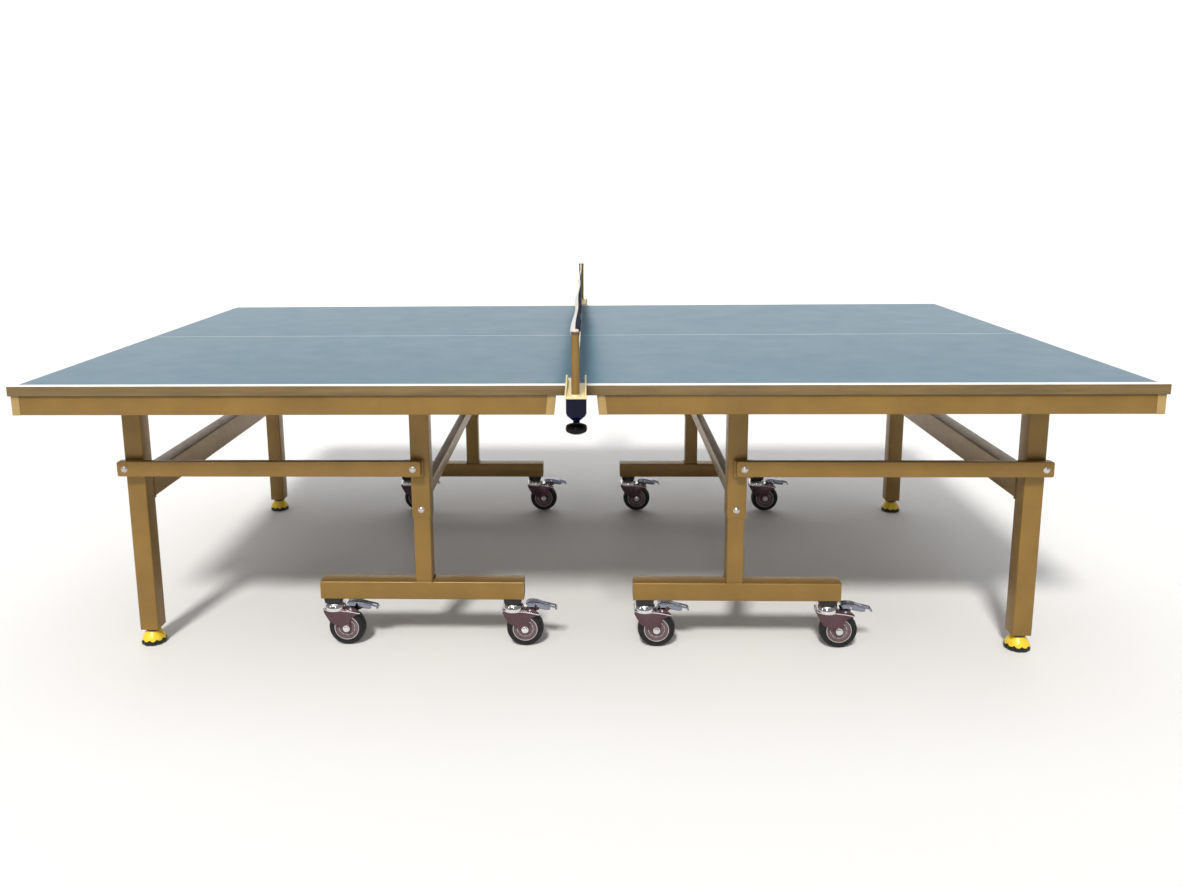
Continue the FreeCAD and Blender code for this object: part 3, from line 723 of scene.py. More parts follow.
def makePanelScrews():
    # short screws up through the strap and the brackets' ends into the panel
    low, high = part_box("right_apron_frame")
    z = high.z - apron["strapThickness"]
    x = low.x + apron["strapWidth"] * 0.2
    first = screwHead("right_panel_screws", (x, 0, z), (0, 0, -1))
    heads = [first]
    count = int((high.y - 0.04) / screws["spacing"])
    for i in range(-count, count + 1):
        if i:
            heads.append(copied(first, "head", shift=(0, i * screws["spacing"], 0)))
    group = painted(joined("right_panel_screws", heads), zinc)
    onBothHalves(group, "right_top", [])


makePanelScrews()


for side in ("left", "right"):
    painted(frame["nodes"][side + "_hinge_brackets"], zinc)
print("screws and brackets are done")


stand = {
    "tube": 0.050, "sleeveWall": 0.0023, "barWidth": 0.025, "barHeight": 0.040, "barZ": 0.416,
    "padWidth": 0.050, "padBelow": 0.028, "padAbove": 0.0185, "padThickness": 0.008, "padRadius": 0.003,
}
legs = {
    "barWidth": 0.050, "barHeight": 0.070, "barZ": 0.442,
    "padWidth": 0.036, "padBelow": 0.0185, "padAbove": 0.0185,
}
standX = pivots["right_fold"].x
legX = pivots["right_leg_fold"].x
linkAt = pivots["right_link_turn"]
linkOffset = linkAt.x - standX
centreY = pivots["right_rear_inner_swivel"].y


def linkPads(x, sizes):
    half = stand["tube"] / 2
    pieces = []
    for sign in (-1, 1):
        y0 = sign * (centreY + half)
        y1 = sign * (centreY + half + stand["padThickness"])
        px = x + linkOffset
        low = (px - sizes["padWidth"] / 2, min(y0, y1), linkAt.z - sizes["padBelow"])
        high = (px + sizes["padWidth"] / 2, max(y0, y1), linkAt.z + sizes["padAbove"])
        pad = block("pad", low, high)
        pieces.append(soften(pad, stand["padRadius"] / 2, 3, 50))
        edgeX = x + half
        pieces.append(weld((edgeX, y0, low[2] + 0.004), (edgeX, y0, high[2] - 0.004)))
        pieces.append(weld((low[0] + 0.004, y0, low[2]), (edgeX - 0.004, y0, low[2])))
    return pieces


def crossBar(x, size, z, insideY):
    wide, tall = size
    bar = squareTube("bar", (x - wide / 2, -insideY, z - tall / 2),
                     (x + wide / 2, insideY, z + tall / 2), "Y")
    pieces = [bar]
    for sign in (-1, 1):
        ring = ringAlong("Y", sign * insideY, x - wide / 2, x + wide / 2, z - tall / 2, z + tall / 2)
        pieces += weldLoop(ring)
    return pieces


def makeUprights():
    half = stand["tube"] / 2
    low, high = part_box("right_upper_frame")
    parts = crossBar(standX, (stand["barWidth"], stand["barHeight"]), stand["barZ"], centreY - half)
    parts += linkPads(standX, stand)
    for sign in (-1, 1):
        y = sign * centreY
        parts.append(squareTube("sleeve", (standX - half, y - half, low.z), (standX + half, y + half, high.z),
                                openEnds="low", wall=stand["sleeveWall"]))
    onBothHalves(painted(joined("right_uprights", parts), gold), "right_stand",
                 ["right_upper_frame"])


def makeLegs():
    half = stand["tube"] / 2
    low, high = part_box("right_leg_frame")
    parts = crossBar(legX, (legs["barWidth"], legs["barHeight"]), legs["barZ"], centreY - half)
    parts += linkPads(legX, legs)
    for sign in (-1, 1):
        y = sign * centreY
        parts.append(squareTube("leg", (legX - half, y - half, low.z), (legX + half, y + half, high.z)))
    onBothHalves(painted(joined("right_legs", parts), gold), "right_legs",
                 ["right_leg_frame"])


def makeTStands():
    half = stand["tube"] / 2
    inner = half - stand["sleeveWall"] - 0.0002
    for place, sign in (("rear", 1), ("front", -1)):
        low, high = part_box("right_" + place + "_t_stand")
        y = sign * centreY
        barTop = low.z + stand["tube"]
        bar = squareTube("footBar", (low.x, y - half, low.z), (high.x, y + half, barTop), "X")
        post = squareTube("post", (standX - inner, y - inner, barTop - 0.001),
                          (standX + inner, y + inner, high.z), openEnds="high")
        beads = weldLoop(ringAlong("Z", barTop, standX - inner, standX + inner, y - inner, y + inner))
        piece = painted(joined("right_" + place + "_stand_foot", [bar, post] + beads), gold)
        onBothHalves(piece, "right_stand", ["right_" + place + "_t_stand"])


makeUprights()
makeLegs()
makeTStands()
print("stands and legs are made")


links = {
    "thickness": 0.020, "endRadius": 0.005, "edgeRadius": 0.0016,
    "rivetRadius": 0.0085, "rivetRise": 0.004,
}


def domeHead(name, place, side, radius, rise):
    # a low domed head with a thin flange, on the outer face
    flange = rise * 0.28
    profile = [(0, 0), (radius, 0), (radius, flange), (radius * 0.86, flange * 1.3)]
    for i in range(1, 6):
        angle = math.pi / 2 * i / 5
        profile.append((radius * 0.86 * math.cos(angle),
                        flange * 1.3 + (rise - flange * 1.3) * math.sin(angle)))
    profile[-1] = (0, rise)
    head = lathe(name, [(r, h * side) for r, h in profile], place, along="Y", steps=28)
    return smooth(head, 40)


def makeLinks():
    for place, sign in (("rear", 1), ("front", -1)):
        low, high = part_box("right_" + place + "_link")
        thick = links["thickness"]
        inner = sign * (centreY + stand["tube"] / 2 + stand["padThickness"] + 0.0005)
        outer = inner + sign * thick
        x0, x1 = low.x, high.x
        z0, z1 = low.z, high.z
        bar = block("bar", (x0, min(inner, outer), z0), (x1, max(inner, outer), z1))
        pickEdges(bar, lambda a, b: abs(a.y - b.y) > 0.01)
        bpy.ops.mesh.bevel(offset=links["endRadius"], segments=4)
        done()
        soften(bar, links["edgeRadius"], 3, 50)
        tall = z1 - z0
        painted(bar, gold)
        heads = []
        for x in (x0 + tall / 2, x1 - tall / 2):
            heads.append(domeHead("head", (x, outer, linkAt.z), sign, links["rivetRadius"],
                                  links["rivetRise"]))
            heads.append(rod("pin", (x, inner - sign * 0.0163, linkAt.z), 0.005, sign * 0.0163, "Y", 24))
        rivets = painted(joined("right_" + place + "_link_rivets", heads), zinc)
        bar.name = "right_" + place + "_link_bar"
        onBothHalves(bar, "right_links", ["right_" + place + "_link"])
        onBothHalves(rivets, "right_links", [])


def makeSleeveBolts():
    half = stand["tube"] / 2
    low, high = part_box("right_sleeve_bolts")
    z = (low.z + high.z) / 2
    parts = []
    for sign in (-1, 1):
        outer = sign * (centreY + half)
        inner = sign * (centreY - half)
        parts.append(domeHead("head", (standX, outer, z), sign, 0.0085, 0.0052))
        parts.append(rod("shank", (standX, inner, z), 0.005, sign * stand["tube"], "Y", 24))
        nut = rod("nut", (standX, inner, z), 0.007, -sign * 0.0055, "Y", 6)
        parts.append(soften(nut, 0.0006, 2, 40))
    onBothHalves(painted(joined("right_sleeve_bolt_set", parts), zinc), "right_stand",
                 ["right_sleeve_bolts"])


makeLinks()
makeSleeveBolts()
print("link bars and bolts are made")


foot = {
    "petals": 10, "baseHeight": 0.012, "skirtTop": 0.034, "skirtTopRadius": 0.0200,
    "skirtRadius": 0.0305, "petalDrop": 0.0050, "notch": 0.0022,
}


def makeFeet():
    low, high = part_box("right_rear_foot")
    x, y = legX, centreY
    radius = (high.x - low.x) / 2
    petals = foot["petals"]
    steps = petals * 8
    base = lathe("base", [(0, 0), (radius * 0.94, 0), (radius, 0.0022), (radius, foot["baseHeight"] - 0.003),
                          (radius * 0.95, foot["baseHeight"]), (0, foot["baseHeight"])], (x, y, 0),
                          steps=steps)
    for point in base.data.vertices:
        dx, dy = point.co.x - x, point.co.y - y
        far = math.hypot(dx, dy)
        if far > radius * 0.5:
            wave = abs(math.cos(petals / 2 * math.atan2(dy, dx)))
            share = 1 - foot["notch"] * (1 - wave) ** 2 / far
            point.co.x, point.co.y = x + dx * share, y + dy * share
    painted(base, blackPlastic)
    topZ, skirtR = foot["skirtTop"], foot["skirtRadius"]
    skirt = lathe("skirt", [(0.0, topZ + 0.002), (foot["skirtTopRadius"] * 0.9, topZ + 0.002),
                            (foot["skirtTopRadius"], topZ), (skirtR * 0.80, topZ * 0.80),
                            (skirtR * 0.93, topZ * 0.62), (skirtR, topZ * 0.46), (skirtR * 1.02, topZ * 0.34),
                            (skirtR * 0.97, topZ * 0.33), (0.012, topZ * 0.33)], (x, y, 0), steps=steps)
    for point in skirt.data.vertices:
        dx, dy = point.co.x - x, point.co.y - y
        far = math.hypot(dx, dy)
        if far > skirtR * 0.9:
            wave = abs(math.cos(petals / 2 * math.atan2(dy, dx)))
            droop = max(0.0, 1 - (point.co.z - topZ * 0.33) / (topZ * 0.16))
            point.co.z += (1 - wave) * foot["petalDrop"] * droop
            swell = 1 + 0.035 * (wave - 0.6)
            point.co.x, point.co.y = x + dx * swell, y + dy * swell
    painted(skirt, yellow)
    nut = rod("nut", (x, y, topZ + 0.002), 0.019, 0.0087, "Z", 6)
    painted(soften(nut, 0.0012, 2, 40), darkNut)
    stem = rod("stem", (x, y, topZ), 0.006, high.z - topZ, "Z", 24)
    painted(soften(stem, 0.0008, 2, 40), zinc)
    rear = joined("right_rear_level_foot", [base, skirt, nut, stem])
    front = copied(rear, "right_front_level_foot", flip="Y")
    for piece, place in ((rear, "rear"), (front, "front")):
        onBothHalves(piece, "right_" + place + "_foot", ["right_" + place + "_foot"])


makeFeet()
print("levelling feet are made")


caster = {
    "wheelRadius": 0.050, "tyreHalf": 0.015, "tyreInner": 0.034, "hubFace": 0.011,
    "crownRadius": 0.030, "cheekGap": 0.0170, "cheekThickness": 0.0025, "flange": 0.0045,
    "pedalWidth": 0.028, "pedalThickness": 0.0048,
    "rings": [(0.0322, 0.0013), (0.0215, 0.0009)],     # radius and half width of the hub's ridges, plated bright as a painted highlight
}
stemAt = pivots["right_rear_inner_swivel"]
axleAt = pivots["right_rear_inner_roll"]
pedalAt = pivots["right_rear_inner_brake"]


def makeWheel():
    r, half, inner, faceY = (caster[k] for k in ("wheelRadius", "tyreHalf", "tyreInner", "hubFace"))
    tyreProfile = [(inner, -half + 0.001), (inner + 0.003, -half), (r - 0.008, -half),
                   (r - 0.003, -half + 0.003),
                   (r - 0.0008, -half + 0.008), (r, 0), (r - 0.0008, half - 0.008), (r - 0.003, half - 0.003),
                   (r - 0.008, half), (inner + 0.003, half), (inner, half - 0.001), (inner, -half + 0.001)]
    tread = painted(lathe("tread", tyreProfile, axleAt, "Y", 64), tyre)
    hubProfile = [(0.0045, -half), (0.0115, -half), (0.0125, -half + 0.001), (0.0130, -faceY),
                  (inner - 0.004, -faceY),
                  (inner - 0.002, -half + 0.0015), (inner + 0.0002, -half + 0.0012),
                  (inner + 0.0002, half - 0.0012),
                  (inner - 0.002, half - 0.0015), (inner - 0.004, faceY), (0.0130, faceY),
                  (0.0125, half - 0.001),
                  (0.0115, half), (0.0045, half), (0.0045, -half)]
    hub = painted(lathe("hub", hubProfile, axleAt, "Y", 64), hubGrey)
    rings = []
    for radius, width in caster["rings"]:
        for side in (-1, 1):
            face = side * (half - 0.0010 if radius > 0.03 else faceY)
            ring = [(radius - width, face), (radius - width * 0.6, face + side * 0.0010),
                    (radius + width * 0.6, face + side * 0.0010),
                    (radius + width, face), (radius + width, face - side * 0.0004),
                    (radius - width, face - side * 0.0004),
                    (radius - width, face)]
            # the ridges are plated bright as a painted highlight
            rings.append(painted(lathe("ring", ring, axleAt, "Y", 56), hubRing))
    ribs = []
    for i in range(10):
        rib = block("rib", (axleAt.x + 0.0122, axleAt.y - half + 0.0025, axleAt.z - 0.0013),
                    (axleAt.x + inner - 0.0025, axleAt.y + half - 0.0025, axleAt.z + 0.0013))
        turn = Matrix.Rotation(2 * math.pi * i / 10, 4, "Y")
        rib.data.transform(Matrix.Translation(axleAt) @ turn @ Matrix.Translation(-axleAt))
        ribs.append(painted(soften(rib, 0.0004, 1, 40), hubGrey))
    return joined("wheel", [tread, hub] + ribs + rings)


def makeFork():
    x, y = stemAt.x, stemAt.y
    crownTop = 2 * caster["wheelRadius"] + 0.007
    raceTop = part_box("right_caster_mounts")[0].z - 0.0004
    cr = caster["crownRadius"]
    gap, thick = caster["cheekGap"], caster["cheekThickness"]
    parts = []
    dish = [(0, crownTop - 0.004), (cr - 0.004, crownTop - 0.004), (cr - 0.001, crownTop - 0.0055),
            (cr, crownTop - 0.003), (cr - 0.0010, crownTop + 0.002), (cr - 0.0025, crownTop + 0.009),
            (cr - 0.006, raceTop - 0.0022), (cr - 0.009, raceTop), (0, raceTop)]
    parts.append(lathe("dish", dish, (x, y, 0), steps=56))
    plate = block("plate", (x, y - gap - thick, crownTop - 0.003),
                  (pedalAt.x - 0.008, y + gap + thick, crownTop))
    parts.append(soften(plate, 0.0008, 2, 40))
    outline = [(x - 0.028, crownTop), (x - 0.0275, crownTop - 0.010), (x - 0.021, 0.084), (x - 0.011, 0.067),
               (axleAt.x - 0.015, 0.052), (axleAt.x - 0.0105, 0.043), (axleAt.x - 0.005, 0.0395),
               (axleAt.x + 0.005, 0.0395), (axleAt.x + 0.0095, 0.043), (axleAt.x + 0.0105, 0.054),
               (axleAt.x + 0.0105, 0.066), (pedalAt.x - 0.001, 0.078), (pedalAt.x + 0.010, 0.086),
               (x + 0.069, 0.0915), (x + 0.070, 0.0975), (pedalAt.x + 0.009, 0.110),
               (pedalAt.x - 0.005, 0.111),
               (pedalAt.x - 0.009, crownTop)]
    for sign in (-1, 1):
        inner = y + sign * gap
        start, depth = (inner, thick) if sign > 0 else (inner - thick, thick)
        cheek = outlined("cheek", outline, start, depth)
        # the cheeks' dark maroon plating is a painted reflection of a dark red floor
        parts.append(painted(soften(cheek, 0.0007, 2, 40), cheekPlate))
        # the pressed rim that stands out along the fork's shoulder
        rim = [(x - 0.0285, crownTop + 0.0005), (x - 0.0285, crownTop - 0.0025),
               (x + 0.010, crownTop - 0.0045),
               (x + 0.045, crownTop - 0.0085), (x + 0.0705, 0.0930), (x + 0.0710, 0.0965),
               (x + 0.045, crownTop - 0.0050), (x + 0.010, crownTop - 0.0010)]
        outer = y + sign * (gap + thick)
        start = outer if sign > 0 else outer - caster["flange"]
        parts.append(soften(outlined("rim", rim, start, caster["flange"]), 0.0010, 2, 40))
        washer = lathe("washer", [(0, 0), (0.0095, 0), (0.0095, sign * 0.0012), (0, sign * 0.0012)],
                       (axleAt.x, outer, axleAt.z), "Y", 28)
        parts.append(washer)
        nut = rod("nut", (axleAt.x, outer + sign * 0.0012, axleAt.z), 0.0072, sign * 0.0030, "Y", 6)
        parts.append(soften(nut, 0.0006, 2, 40))
    parts.append(rod("axle", (axleAt.x, y - gap - thick - 0.003, axleAt.z), 0.004,
                     2 * (gap + thick + 0.003), "Y", 20))
    parts.append(rod("pedalPin", (pedalAt.x, y - gap - thick - 0.001, pedalAt.z), 0.0025,
                     2 * (gap + thick + 0.001), "Y", 20))
    parts.append(rod("kingpin", (x, y, crownTop), 0.006,
                     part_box("right_rear_inner_fork")[1].z - crownTop, "Z", 20))
    for part in parts:
        if not part.data.materials:
            painted(part, chrome)
    return joined("fork", parts)


def makePedal():
    # a pressed strip that follows a bent line, with a slot near its tip
    x, z = pedalAt.x, pedalAt.z
    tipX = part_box("right_rear_inner_pedal")[1].x
    line = [(x - 0.010, z + 0.012), (x - 0.004, z + 0.0165), (x + 0.006, z + 0.0175), (x + 0.018, z + 0.0165),
            (x + 0.032, z + 0.0130), (x + 0.046, z + 0.0090), (x + 0.054, z + 0.0070),
            (tipX - 0.004, z + 0.0035),
            (tipX - 0.0012, z - 0.0030)]
    width = caster["pedalWidth"]
    shares = (-0.5, -0.30, 0.30, 0.5)
    points, faces = [], []
    for i, (px, pz) in enumerate(line):
        narrow = 0.72 if i >= 4 else 1.0
        for share in shares:
            points.append((px, stemAt.y + share * width * narrow, pz))
    columns = len(shares)
    for i in range(len(line) - 1):
        for j in range(columns - 1):
            if j == 1 and 5 <= i <= 6:
                continue                    # the slot
            a = i * columns + j
            faces.append((a, a + columns, a + columns + 1, a + 1))
    strip = meshPiece("strip", points, [], faces)
    pickFaces(strip, lambda face: True)
    bpy.ops.mesh.normals_make_consistent(inside=False)
    done()
    applied(strip, "SOLIDIFY", thickness=caster["pedalThickness"], offset=0)
    parts = [soften(strip, 0.0008, 2, 40)]
    for sign in (-1, 1):
        # side skirts that stiffen the strip between the lugs and the slot
        top = [(px, pz) for px, pz in line[3:7]]
        depths = [0.0150, 0.0150, 0.0130, 0.0095]
        skirt = top + [(px, pz - depth) for (px, pz), depth in zip(reversed(top), reversed(depths))]
        edgeY = stemAt.y + sign * width * 0.36
        skirtStart = edgeY - 0.0022 if sign > 0 else edgeY
        parts.append(soften(outlined("skirt", skirt, skirtStart, 0.0022), 0.0007, 2, 40))
        lug = [(x - 0.005, z - 0.004), (x + 0.004, z - 0.005), (x + 0.010, z + 0.004),
               (x + 0.016, z + 0.0165),
               (x + 0.004, z + 0.018), (x - 0.006, z + 0.013)]
        start = stemAt.y + sign * width / 2
        start = start - 0.0026 if sign > 0 else start
        parts.append(soften(outlined("lug", lug, start, 0.0026), 0.0008, 2, 40))
    return painted(joined("pedal", parts), pedalSteel)


def makeCasters():
    wheel, fork, pedal = makeWheel(), makeFork(), makePedal()
    for side in ("right", "left"):
        for place in ("front", "rear"):
            for end in ("inner", "outer"):
                name = side + "_" + place + "_" + end
                shift = pivots[name + "_swivel"] - stemAt
                for kind, original, slot in (("wheel", wheel, "tyre"), ("fork", fork, "chrome"),
                                             ("pedal", pedal, "chrome")):
                    piece = copied(original, "caster_" + name + "_" + kind, shift=shift)
                    put(piece, name + "_" + kind, [name + "_" + kind])
    for original in (wheel, fork, pedal):
        bpy.data.objects.remove(original)


def makeCasterMounts():
    # black moulded blocks, slightly narrower at the bottom
    low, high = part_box("right_caster_mounts")
    parts = []
    for name in ("right_rear_inner", "right_rear_outer", "right_front_inner", "right_front_outer"):
        at = pivots[name + "_swivel"]
        mount = block("mount", (at.x - 0.0245, at.y - 0.0245, low.z), (at.x + 0.0245, at.y + 0.0245, high.z))
        pickFaces(mount, lambda face: face.normal.z < -0.9)
        bpy.ops.transform.resize(value=(0.93, 0.93, 1))
        done()
        pickEdges(mount, lambda a, b: abs(a.z - b.z) > 0.005)
        bpy.ops.mesh.bevel(offset=0.006, segments=4)
        done()
        parts.append(soften(mount, 0.0010, 2, 50))
    onBothHalves(painted(joined("right_caster_blocks", parts), blackPlastic), "right_stand",
                 ["right_caster_mounts"])


makeCasters()
makeCasterMounts()
print("casters are made")


netSet = {
    "plateEdge": 0.0012, "ribThickness": 0.004, "postRadius": 0.0092, "capHeight": 0.0045,
    "housingCorner": 0.015, "gobletShoulder": 0.058, "plate": 0.005, "postInset": 0.012,
}


def makeNetBracket():
    # drawn at the rear, over the left panel's edge
    low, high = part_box("rear_net_bracket")
    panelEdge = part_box("left_tabletop")[1].y
    plateTop = low.z + netSet["plate"]
    inner = panelEdge + 0.001
    parts = [soften(block("plate", (low.x, inner, low.z), (high.x, high.y, plateTop)),
                    netSet["plateEdge"], 3, 50),
             soften(block("tongue", (low.x, low.y, low.z), (-0.003, inner + 0.003, plateTop)),
                    netSet["plateEdge"], 3, 50)]
    ribTop = plateTop + 0.020
    t = netSet["ribThickness"]
    leftRib = [(low.y + 0.010, plateTop - 0.001), (inner - 0.010, ribTop - 0.002), (inner, ribTop),
               (inner + 0.022, ribTop), (inner + 0.034, ribTop - 0.003), (high.y - 0.001, plateTop + 0.003),
               (high.y - 0.001, plateTop - 0.001)]
    rightRib = [(inner + 0.001, plateTop - 0.001), (inner + 0.001, ribTop - 0.002), (inner + 0.003, ribTop),
                (inner + 0.022, ribTop), (inner + 0.034, ribTop - 0.003), (high.y - 0.001, plateTop + 0.003),
                (high.y - 0.001, plateTop - 0.001)]
    parts.append(soften(outlined("rib", leftRib, low.x, t, "X"), 0.0012, 3, 40))
    parts.append(soften(outlined("rib", rightRib, high.x - t, t, "X"), 0.0012, 3, 40))
    for part in parts:
        painted(part, cream)
    postY = high.y - netSet["postInset"]
    r = netSet["postRadius"]
    capZ = high.z - netSet["capHeight"]
    post = lathe("post", [(0, low.z + 0.001), (r, low.z + 0.001), (r, capZ), (0, capZ)],
                 (0, postY, 0), steps=40)
    collar = lathe("collar", [(r - 0.001, plateTop - 0.001), (r + 0.0035, plateTop - 0.001),
                              (r + 0.003, plateTop + 0.0015), (r, plateTop + 0.0045),
                              (r - 0.001, plateTop + 0.0045)], (0, postY, 0), steps=40)
    cap = lathe("cap", [(0, capZ), (r - 0.0010, capZ), (r - 0.0010, capZ + 0.002),
                        (r - 0.0022, high.z - 0.0008),
                        (r - 0.004, high.z), (0, high.z)], (0, postY, 0), steps=40)
    painted(post, gold)
    painted(collar, cream)
    painted(cap, postCap)
    rear = joined("rear_net_post_set", parts + [post, collar, cap])
    atBothPosts(rear, "left_top", "rear_net_bracket")


def makeClampHousing():
    low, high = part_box("rear_clamp_housing")
    screwY = pivots["rear_screw_turn"].y
    neckTop = low.z + 0.007
    shoulder = high.z - netSet["gobletShoulder"]
    body = block("body", (low.x, low.y, shoulder), (high.x, high.y, high.z))
    # the lower end is drawn in twice, down to the neck
    for drop, scale in ((-0.007, 0.90), (shoulder - neckTop - 0.007, 0.50)):
        pickFaces(body, lambda face: face.normal.z < -0.9)
        bpy.ops.mesh.extrude_region_move(TRANSFORM_OT_translate={"value": (0, 0, -abs(drop))})
        bpy.ops.transform.resize(value=(scale, scale, 1))
        done()
    pickEdges(body, lambda a, b: abs(a.z - b.z) > 0.004 and min(a.y, b.y) > screwY)
    bpy.ops.mesh.bevel(offset=netSet["housingCorner"], segments=6, clamp_overlap=True)
    done()
    soften(body, 0.0016, 3, 38)
    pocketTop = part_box("left_tabletop")[0].z + 0.001
    pocket = block("pocket", (low.x + 0.0015, low.y - 0.01, pocketTop - 0.035),
                   (0.012, high.y - 0.006, pocketTop))
    applied(body, "BOOLEAN", operation="DIFFERENCE", object=pocket, solver="EXACT")
    bpy.data.objects.remove(pocket)
    neck = lathe("neck", [(0.0042, neckTop + 0.004), (0.0042, low.z), (0.0075, low.z), (0.008, low.z + 0.001),
                          (0.008, neckTop - 0.001), (0.010, neckTop + 0.002), (0.0042, neckTop + 0.004)],
                 (0, screwY, 0), steps=32)
    rear = painted(joined("rear_clamp_goblet", [body, neck]), navy)
    atBothPosts(rear, "left_top", "rear_clamp_housing")


def makeClampJaw():
    low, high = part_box("rear_clamp_jaw")
    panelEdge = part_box("left_tabletop")[1].y
    inner = panelEdge + 0.002
    carriage = block("carriage", (low.x, inner, low.z), (high.x, high.y, high.z))
    finger = block("finger", (low.x, low.y, low.z), (-0.004, inner + 0.001, high.z - 0.002))
    pad = block("pad", (low.x + 0.002, low.y + 0.002, high.z - 0.003), (-0.006, inner - 0.004, high.z))
    painted(soften(carriage, 0.0008, 2, 50), navy)
    painted(soften(finger, 0.0008, 2, 50), navy)
    painted(soften(pad, 0.0006, 2, 50), tyre)
    rear = joined("rear_clamp_jaw_set", [carriage, finger, pad])
    atBothPosts(rear, "rear_jaw", "rear_clamp_jaw")


def makeClampScrew():
    low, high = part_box("rear_clamp_screw")
    at = (0, pivots["rear_screw_turn"].y, 0)
    radius = (high.x - low.x) / 2
    knobTop = low.z + 0.024
    middle = (low.z + knobTop) / 2
    rings = [(0, low.z + 0.002), (radius * 0.30, low.z + 0.0015), (radius * 0.55, low.z),
             (radius * 0.80, low.z + 0.0035)]
    for i in range(7):
        angle = math.radians(-54 + 18 * i)
        rings.append((radius * (0.83 + 0.17 * math.cos(angle)), middle + 0.0088 * math.sin(angle)))
    rings += [(radius * 0.70, knobTop - 0.0022), (radius * 0.42, knobTop - 0.0004),
              (radius * 0.34, knobTop), (0, knobTop)]
    knob = lathe("knob", rings, at, steps=72)
    grips = 18
    for point in knob.data.vertices:
        dx, dy = point.co.x, point.co.y - at[1]
        far = math.hypot(dx, dy)
        if far > radius * 0.86:
            share = 1 - 0.022 * (0.5 - 0.5 * math.cos(grips * math.atan2(dy, dx)))
            point.co.x, point.co.y = dx * share, at[1] + dy * share
    painted(knob, glossBlack)
    thread = [(0, knobTop - 0.002)]
    pitch = 0.0015
    z = knobTop - 0.002
    while z + pitch < high.z:
        thread += [(0.0033, z + pitch * 0.1), (0.0040, z + pitch * 0.4), (0.0040, z + pitch * 0.6)]
        z += pitch
    thread += [(0.0033, high.z - 0.0004), (0, high.z)]
    rodPiece = painted(lathe("rod", thread, at, steps=20), zinc)
    rear = joined("rear_clamp_knob", [knob, rodPiece])
    atBothPosts(rear, "rear_screw", "rear_clamp_screw")


makeNetBracket()
makeClampHousing()
makeClampJaw()
makeClampScrew()
print("net posts and clamps are made")


netCloth = {
    "cell": 0.0125, "twine": 0.0018, "tapeHeight": 0.015, "tapeThickness": 0.0042,
    "endBand": 0.012, "sway": 0.0014, "dip": 0.0030,
    "frontTurn": 34, "rearTurn": 8, "blend": 0.05,
}


def sway(y, height):
    # how far the stretched net leans from its plane, and how far its top edge dips between the posts
    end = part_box("net")[1].y
    share = y / end
    lean = netCloth["sway"] * math.sin(3.1 * math.pi * share + 0.6) * (0.35 + 0.65 * height)
    dip = -netCloth["dip"] * (1 - share * share) * height
    return lean, dip


def tapeTurn(y):
    # the folded tape hangs over to the left, most of all near the front post
    share = (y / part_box("net")[1].y + 1) / 2
    ripple = 3 * math.sin(19 * share)
    return -math.radians(netCloth["frontTurn"] * (1 - share) ** 1.5 + netCloth["rearTurn"] + ripple)


def makeNet():
    low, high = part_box("net")
    bottom = low.z + 0.001
    meshTop = high.z - netCloth["tapeHeight"] + 0.002
    half = high.y - 0.001
    columns = round(2 * half / netCloth["cell"])
    rows = round((meshTop - bottom) / netCloth["cell"])
    bpy.ops.object.select_all(action="DESELECT")
    bpy.ops.mesh.primitive_grid_add(x_subdivisions=columns, y_subdivisions=rows, size=1,
                                    rotation=(math.pi / 2, 0, math.pi / 2))
    cloth = bpy.context.active_object
    cloth.scale = (2 * half, meshTop - bottom, 1)
    settle(cloth, "net_mesh")
    for point in cloth.data.vertices:
        height = (point.co.z + (meshTop - bottom) / 2) / (meshTop - bottom)
        lean, dip = sway(point.co.y, height)
        slack = 0.0016 * math.sin(point.co.y * 37) * (1 - height)
        turn = tapeTurn(point.co.y)
        below = (1 - height) * (meshTop - bottom)
        pull = max(0.0, 1 - below / netCloth["blend"]) ** 2
        reach = netCloth["tapeHeight"] - 0.003
        rise = reach * (1 - math.cos(turn)) * pull
        point.co = Vector((lean + reach * math.sin(turn) * pull, point.co.y,
                           bottom + height * (meshTop - bottom) + dip + slack + rise))
    applied(cloth, "WIREFRAME", thickness=netCloth["twine"], use_even_offset=False, use_boundary=True,
            use_replace=True)
    painted(smooth(cloth, 60), twine)
    strandArea = sum(face.area for face in cloth.data.polygons) / 2
    print("net strands over flat", round(strandArea / (2 * half * (meshTop - bottom)), 3))
    flatSize = (2 * half, meshTop - bottom)
    put(cloth, "left_top", ["net"])
    return cloth, flatSize, strandArea


def stripAlong(name, section, stations, place):
    # a closed section carried along Y; place(y) gives the shift of each station
    points, faces = [], []
    count = len(section)
    for y in stations:
        dx, dz, turn = place(y)
        c, s = math.cos(turn), math.sin(turn)
        for sx, sz in section:
            points.append((dx + sx * c - sz * s, y, dz + sx * s + sz * c))
    for i in range(len(stations) - 1):
        for j in range(count):
            a, b = i * count + j, i * count + (j + 1) % count
            faces.append((a, a + count, b + count, b))
    faces.append(tuple(range(count)))
    faces.append(tuple(range(len(points) - count, len(points)))[::-1])
    piece = meshPiece(name, points, [], faces)
    pickFaces(piece, lambda face: True)
    bpy.ops.mesh.normals_make_consistent(inside=False)
    done()
    return smooth(piece, 50)


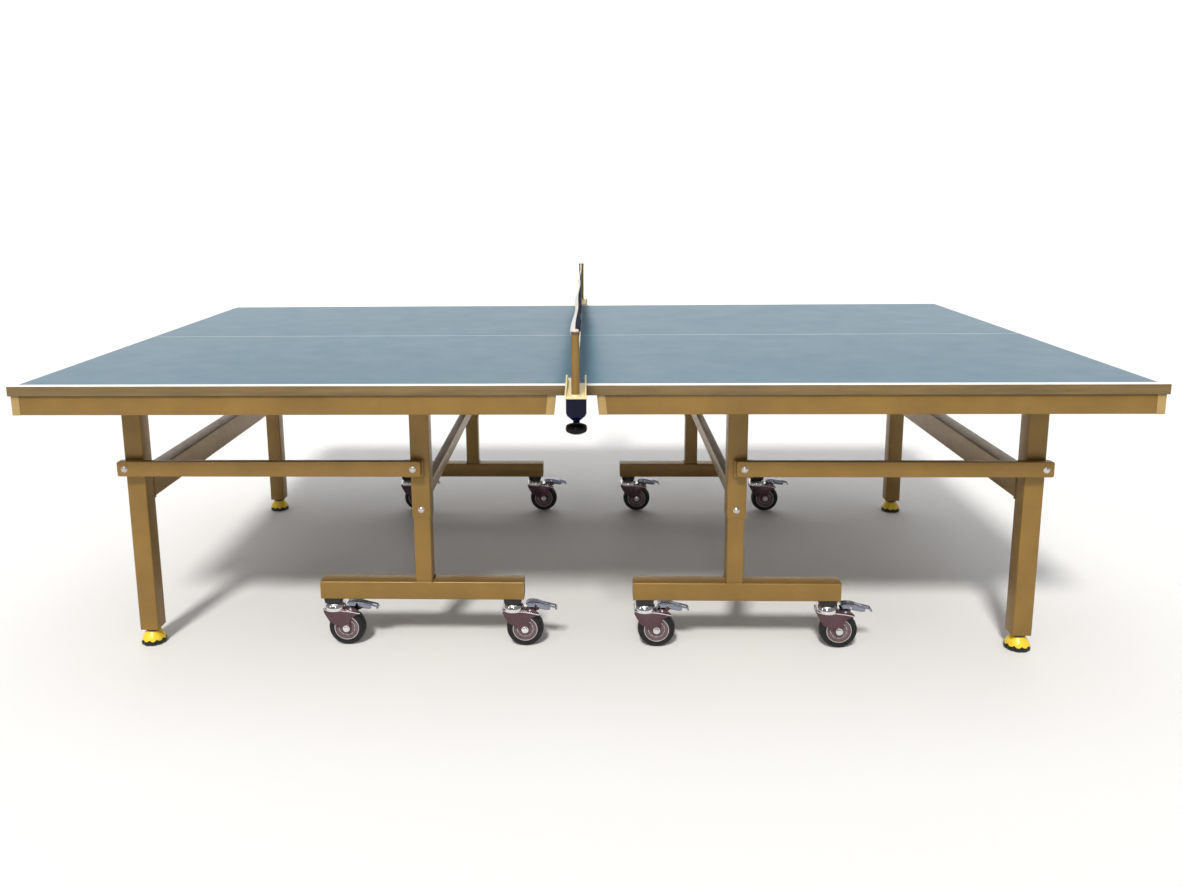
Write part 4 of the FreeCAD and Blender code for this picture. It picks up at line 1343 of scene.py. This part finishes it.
def makeNetTape():
    # a strip folded over the cord: round over the cord at the top, two thin skirts below it
    low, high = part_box("net")
    tall, thick = netCloth["tapeHeight"], netCloth["tapeThickness"]
    r = thick / 2
    section = []
    for i in range(9):
        angle = math.pi * i / 8
        section.append((r * math.cos(angle), -r + r * math.sin(angle)))
    section += [(-r * 0.62, -r - 0.003), (-0.0011, -r - 0.006), (-0.0009, -tall), (0.0009, -tall),
                (0.0011, -r - 0.006), (r * 0.62, -r - 0.003)]
    half = high.y
    steps = 120
    stations = [-half + 2 * half * i / steps for i in range(steps + 1)]

    def place(y):
        lean, dip = sway(y, 1.0)
        return lean, high.z + dip, tapeTurn(y)

    tape = painted(stripAlong("net_tape", section, stations, place), cotton)
    put(tape, "left_top", [])
    # bands down the two ends of the net
    bands = []
    for sign in (-1, 1):
        y0 = sign * (half - 0.0005)
        y1 = sign * (half - netCloth["endBand"])
        band = block("band", (-0.0012, min(y0, y1), low.z + 0.0005), (0.0012, max(y0, y1), high.z - 0.013))
        bands.append(painted(soften(band, 0.0006, 2, 50), cotton))
    ends = joined("net_end_bands", bands)
    put(ends, "left_top", [])
    return tape, ends


def makeNetCord():
    # the cord runs inside the tape and is looped round each post under its cap
    low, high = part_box("net")
    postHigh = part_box("rear_net_bracket")[1]
    postY = postHigh.y - netSet["postInset"]
    r = netSet["postRadius"] + 0.0005
    z = high.z - netCloth["tapeThickness"] / 2 - 0.004
    loops = []
    for sign in (-1, 1):
        for turn in (0, 1):
            bpy.ops.object.select_all(action="DESELECT")
            bpy.ops.mesh.primitive_torus_add(major_radius=r, minor_radius=0.0008, major_segments=40,
                                             minor_segments=8, location=(0, sign * postY, z - turn * 0.0016))
            loops.append(smooth(settle(bpy.context.active_object, "loop"), 60))
        reach = postY - r - high.y
        y0 = sign * (high.y - 0.004)
        for x in (-0.0012, 0.0012):
            loops.append(rod("lead", (x, y0, z), 0.0008, sign * (reach + 0.006), "Y", 10))
    cords = painted(joined("net_cord_ends", loops), twine)
    put(cords, "left_top", [])
    return cords


mesh, flatSize, strandArea = makeNet()
tape, ends = makeNetTape()
cords = makeNetCord()
print("net is made: flat size", [round(v, 4) for v in flatSize], "strand area", round(strandArea, 4))


for piece in list(bpy.context.scene.objects):
    if piece.type == "MESH" and not piece.data.materials:
        raise SystemExit(piece.name + " has no material")
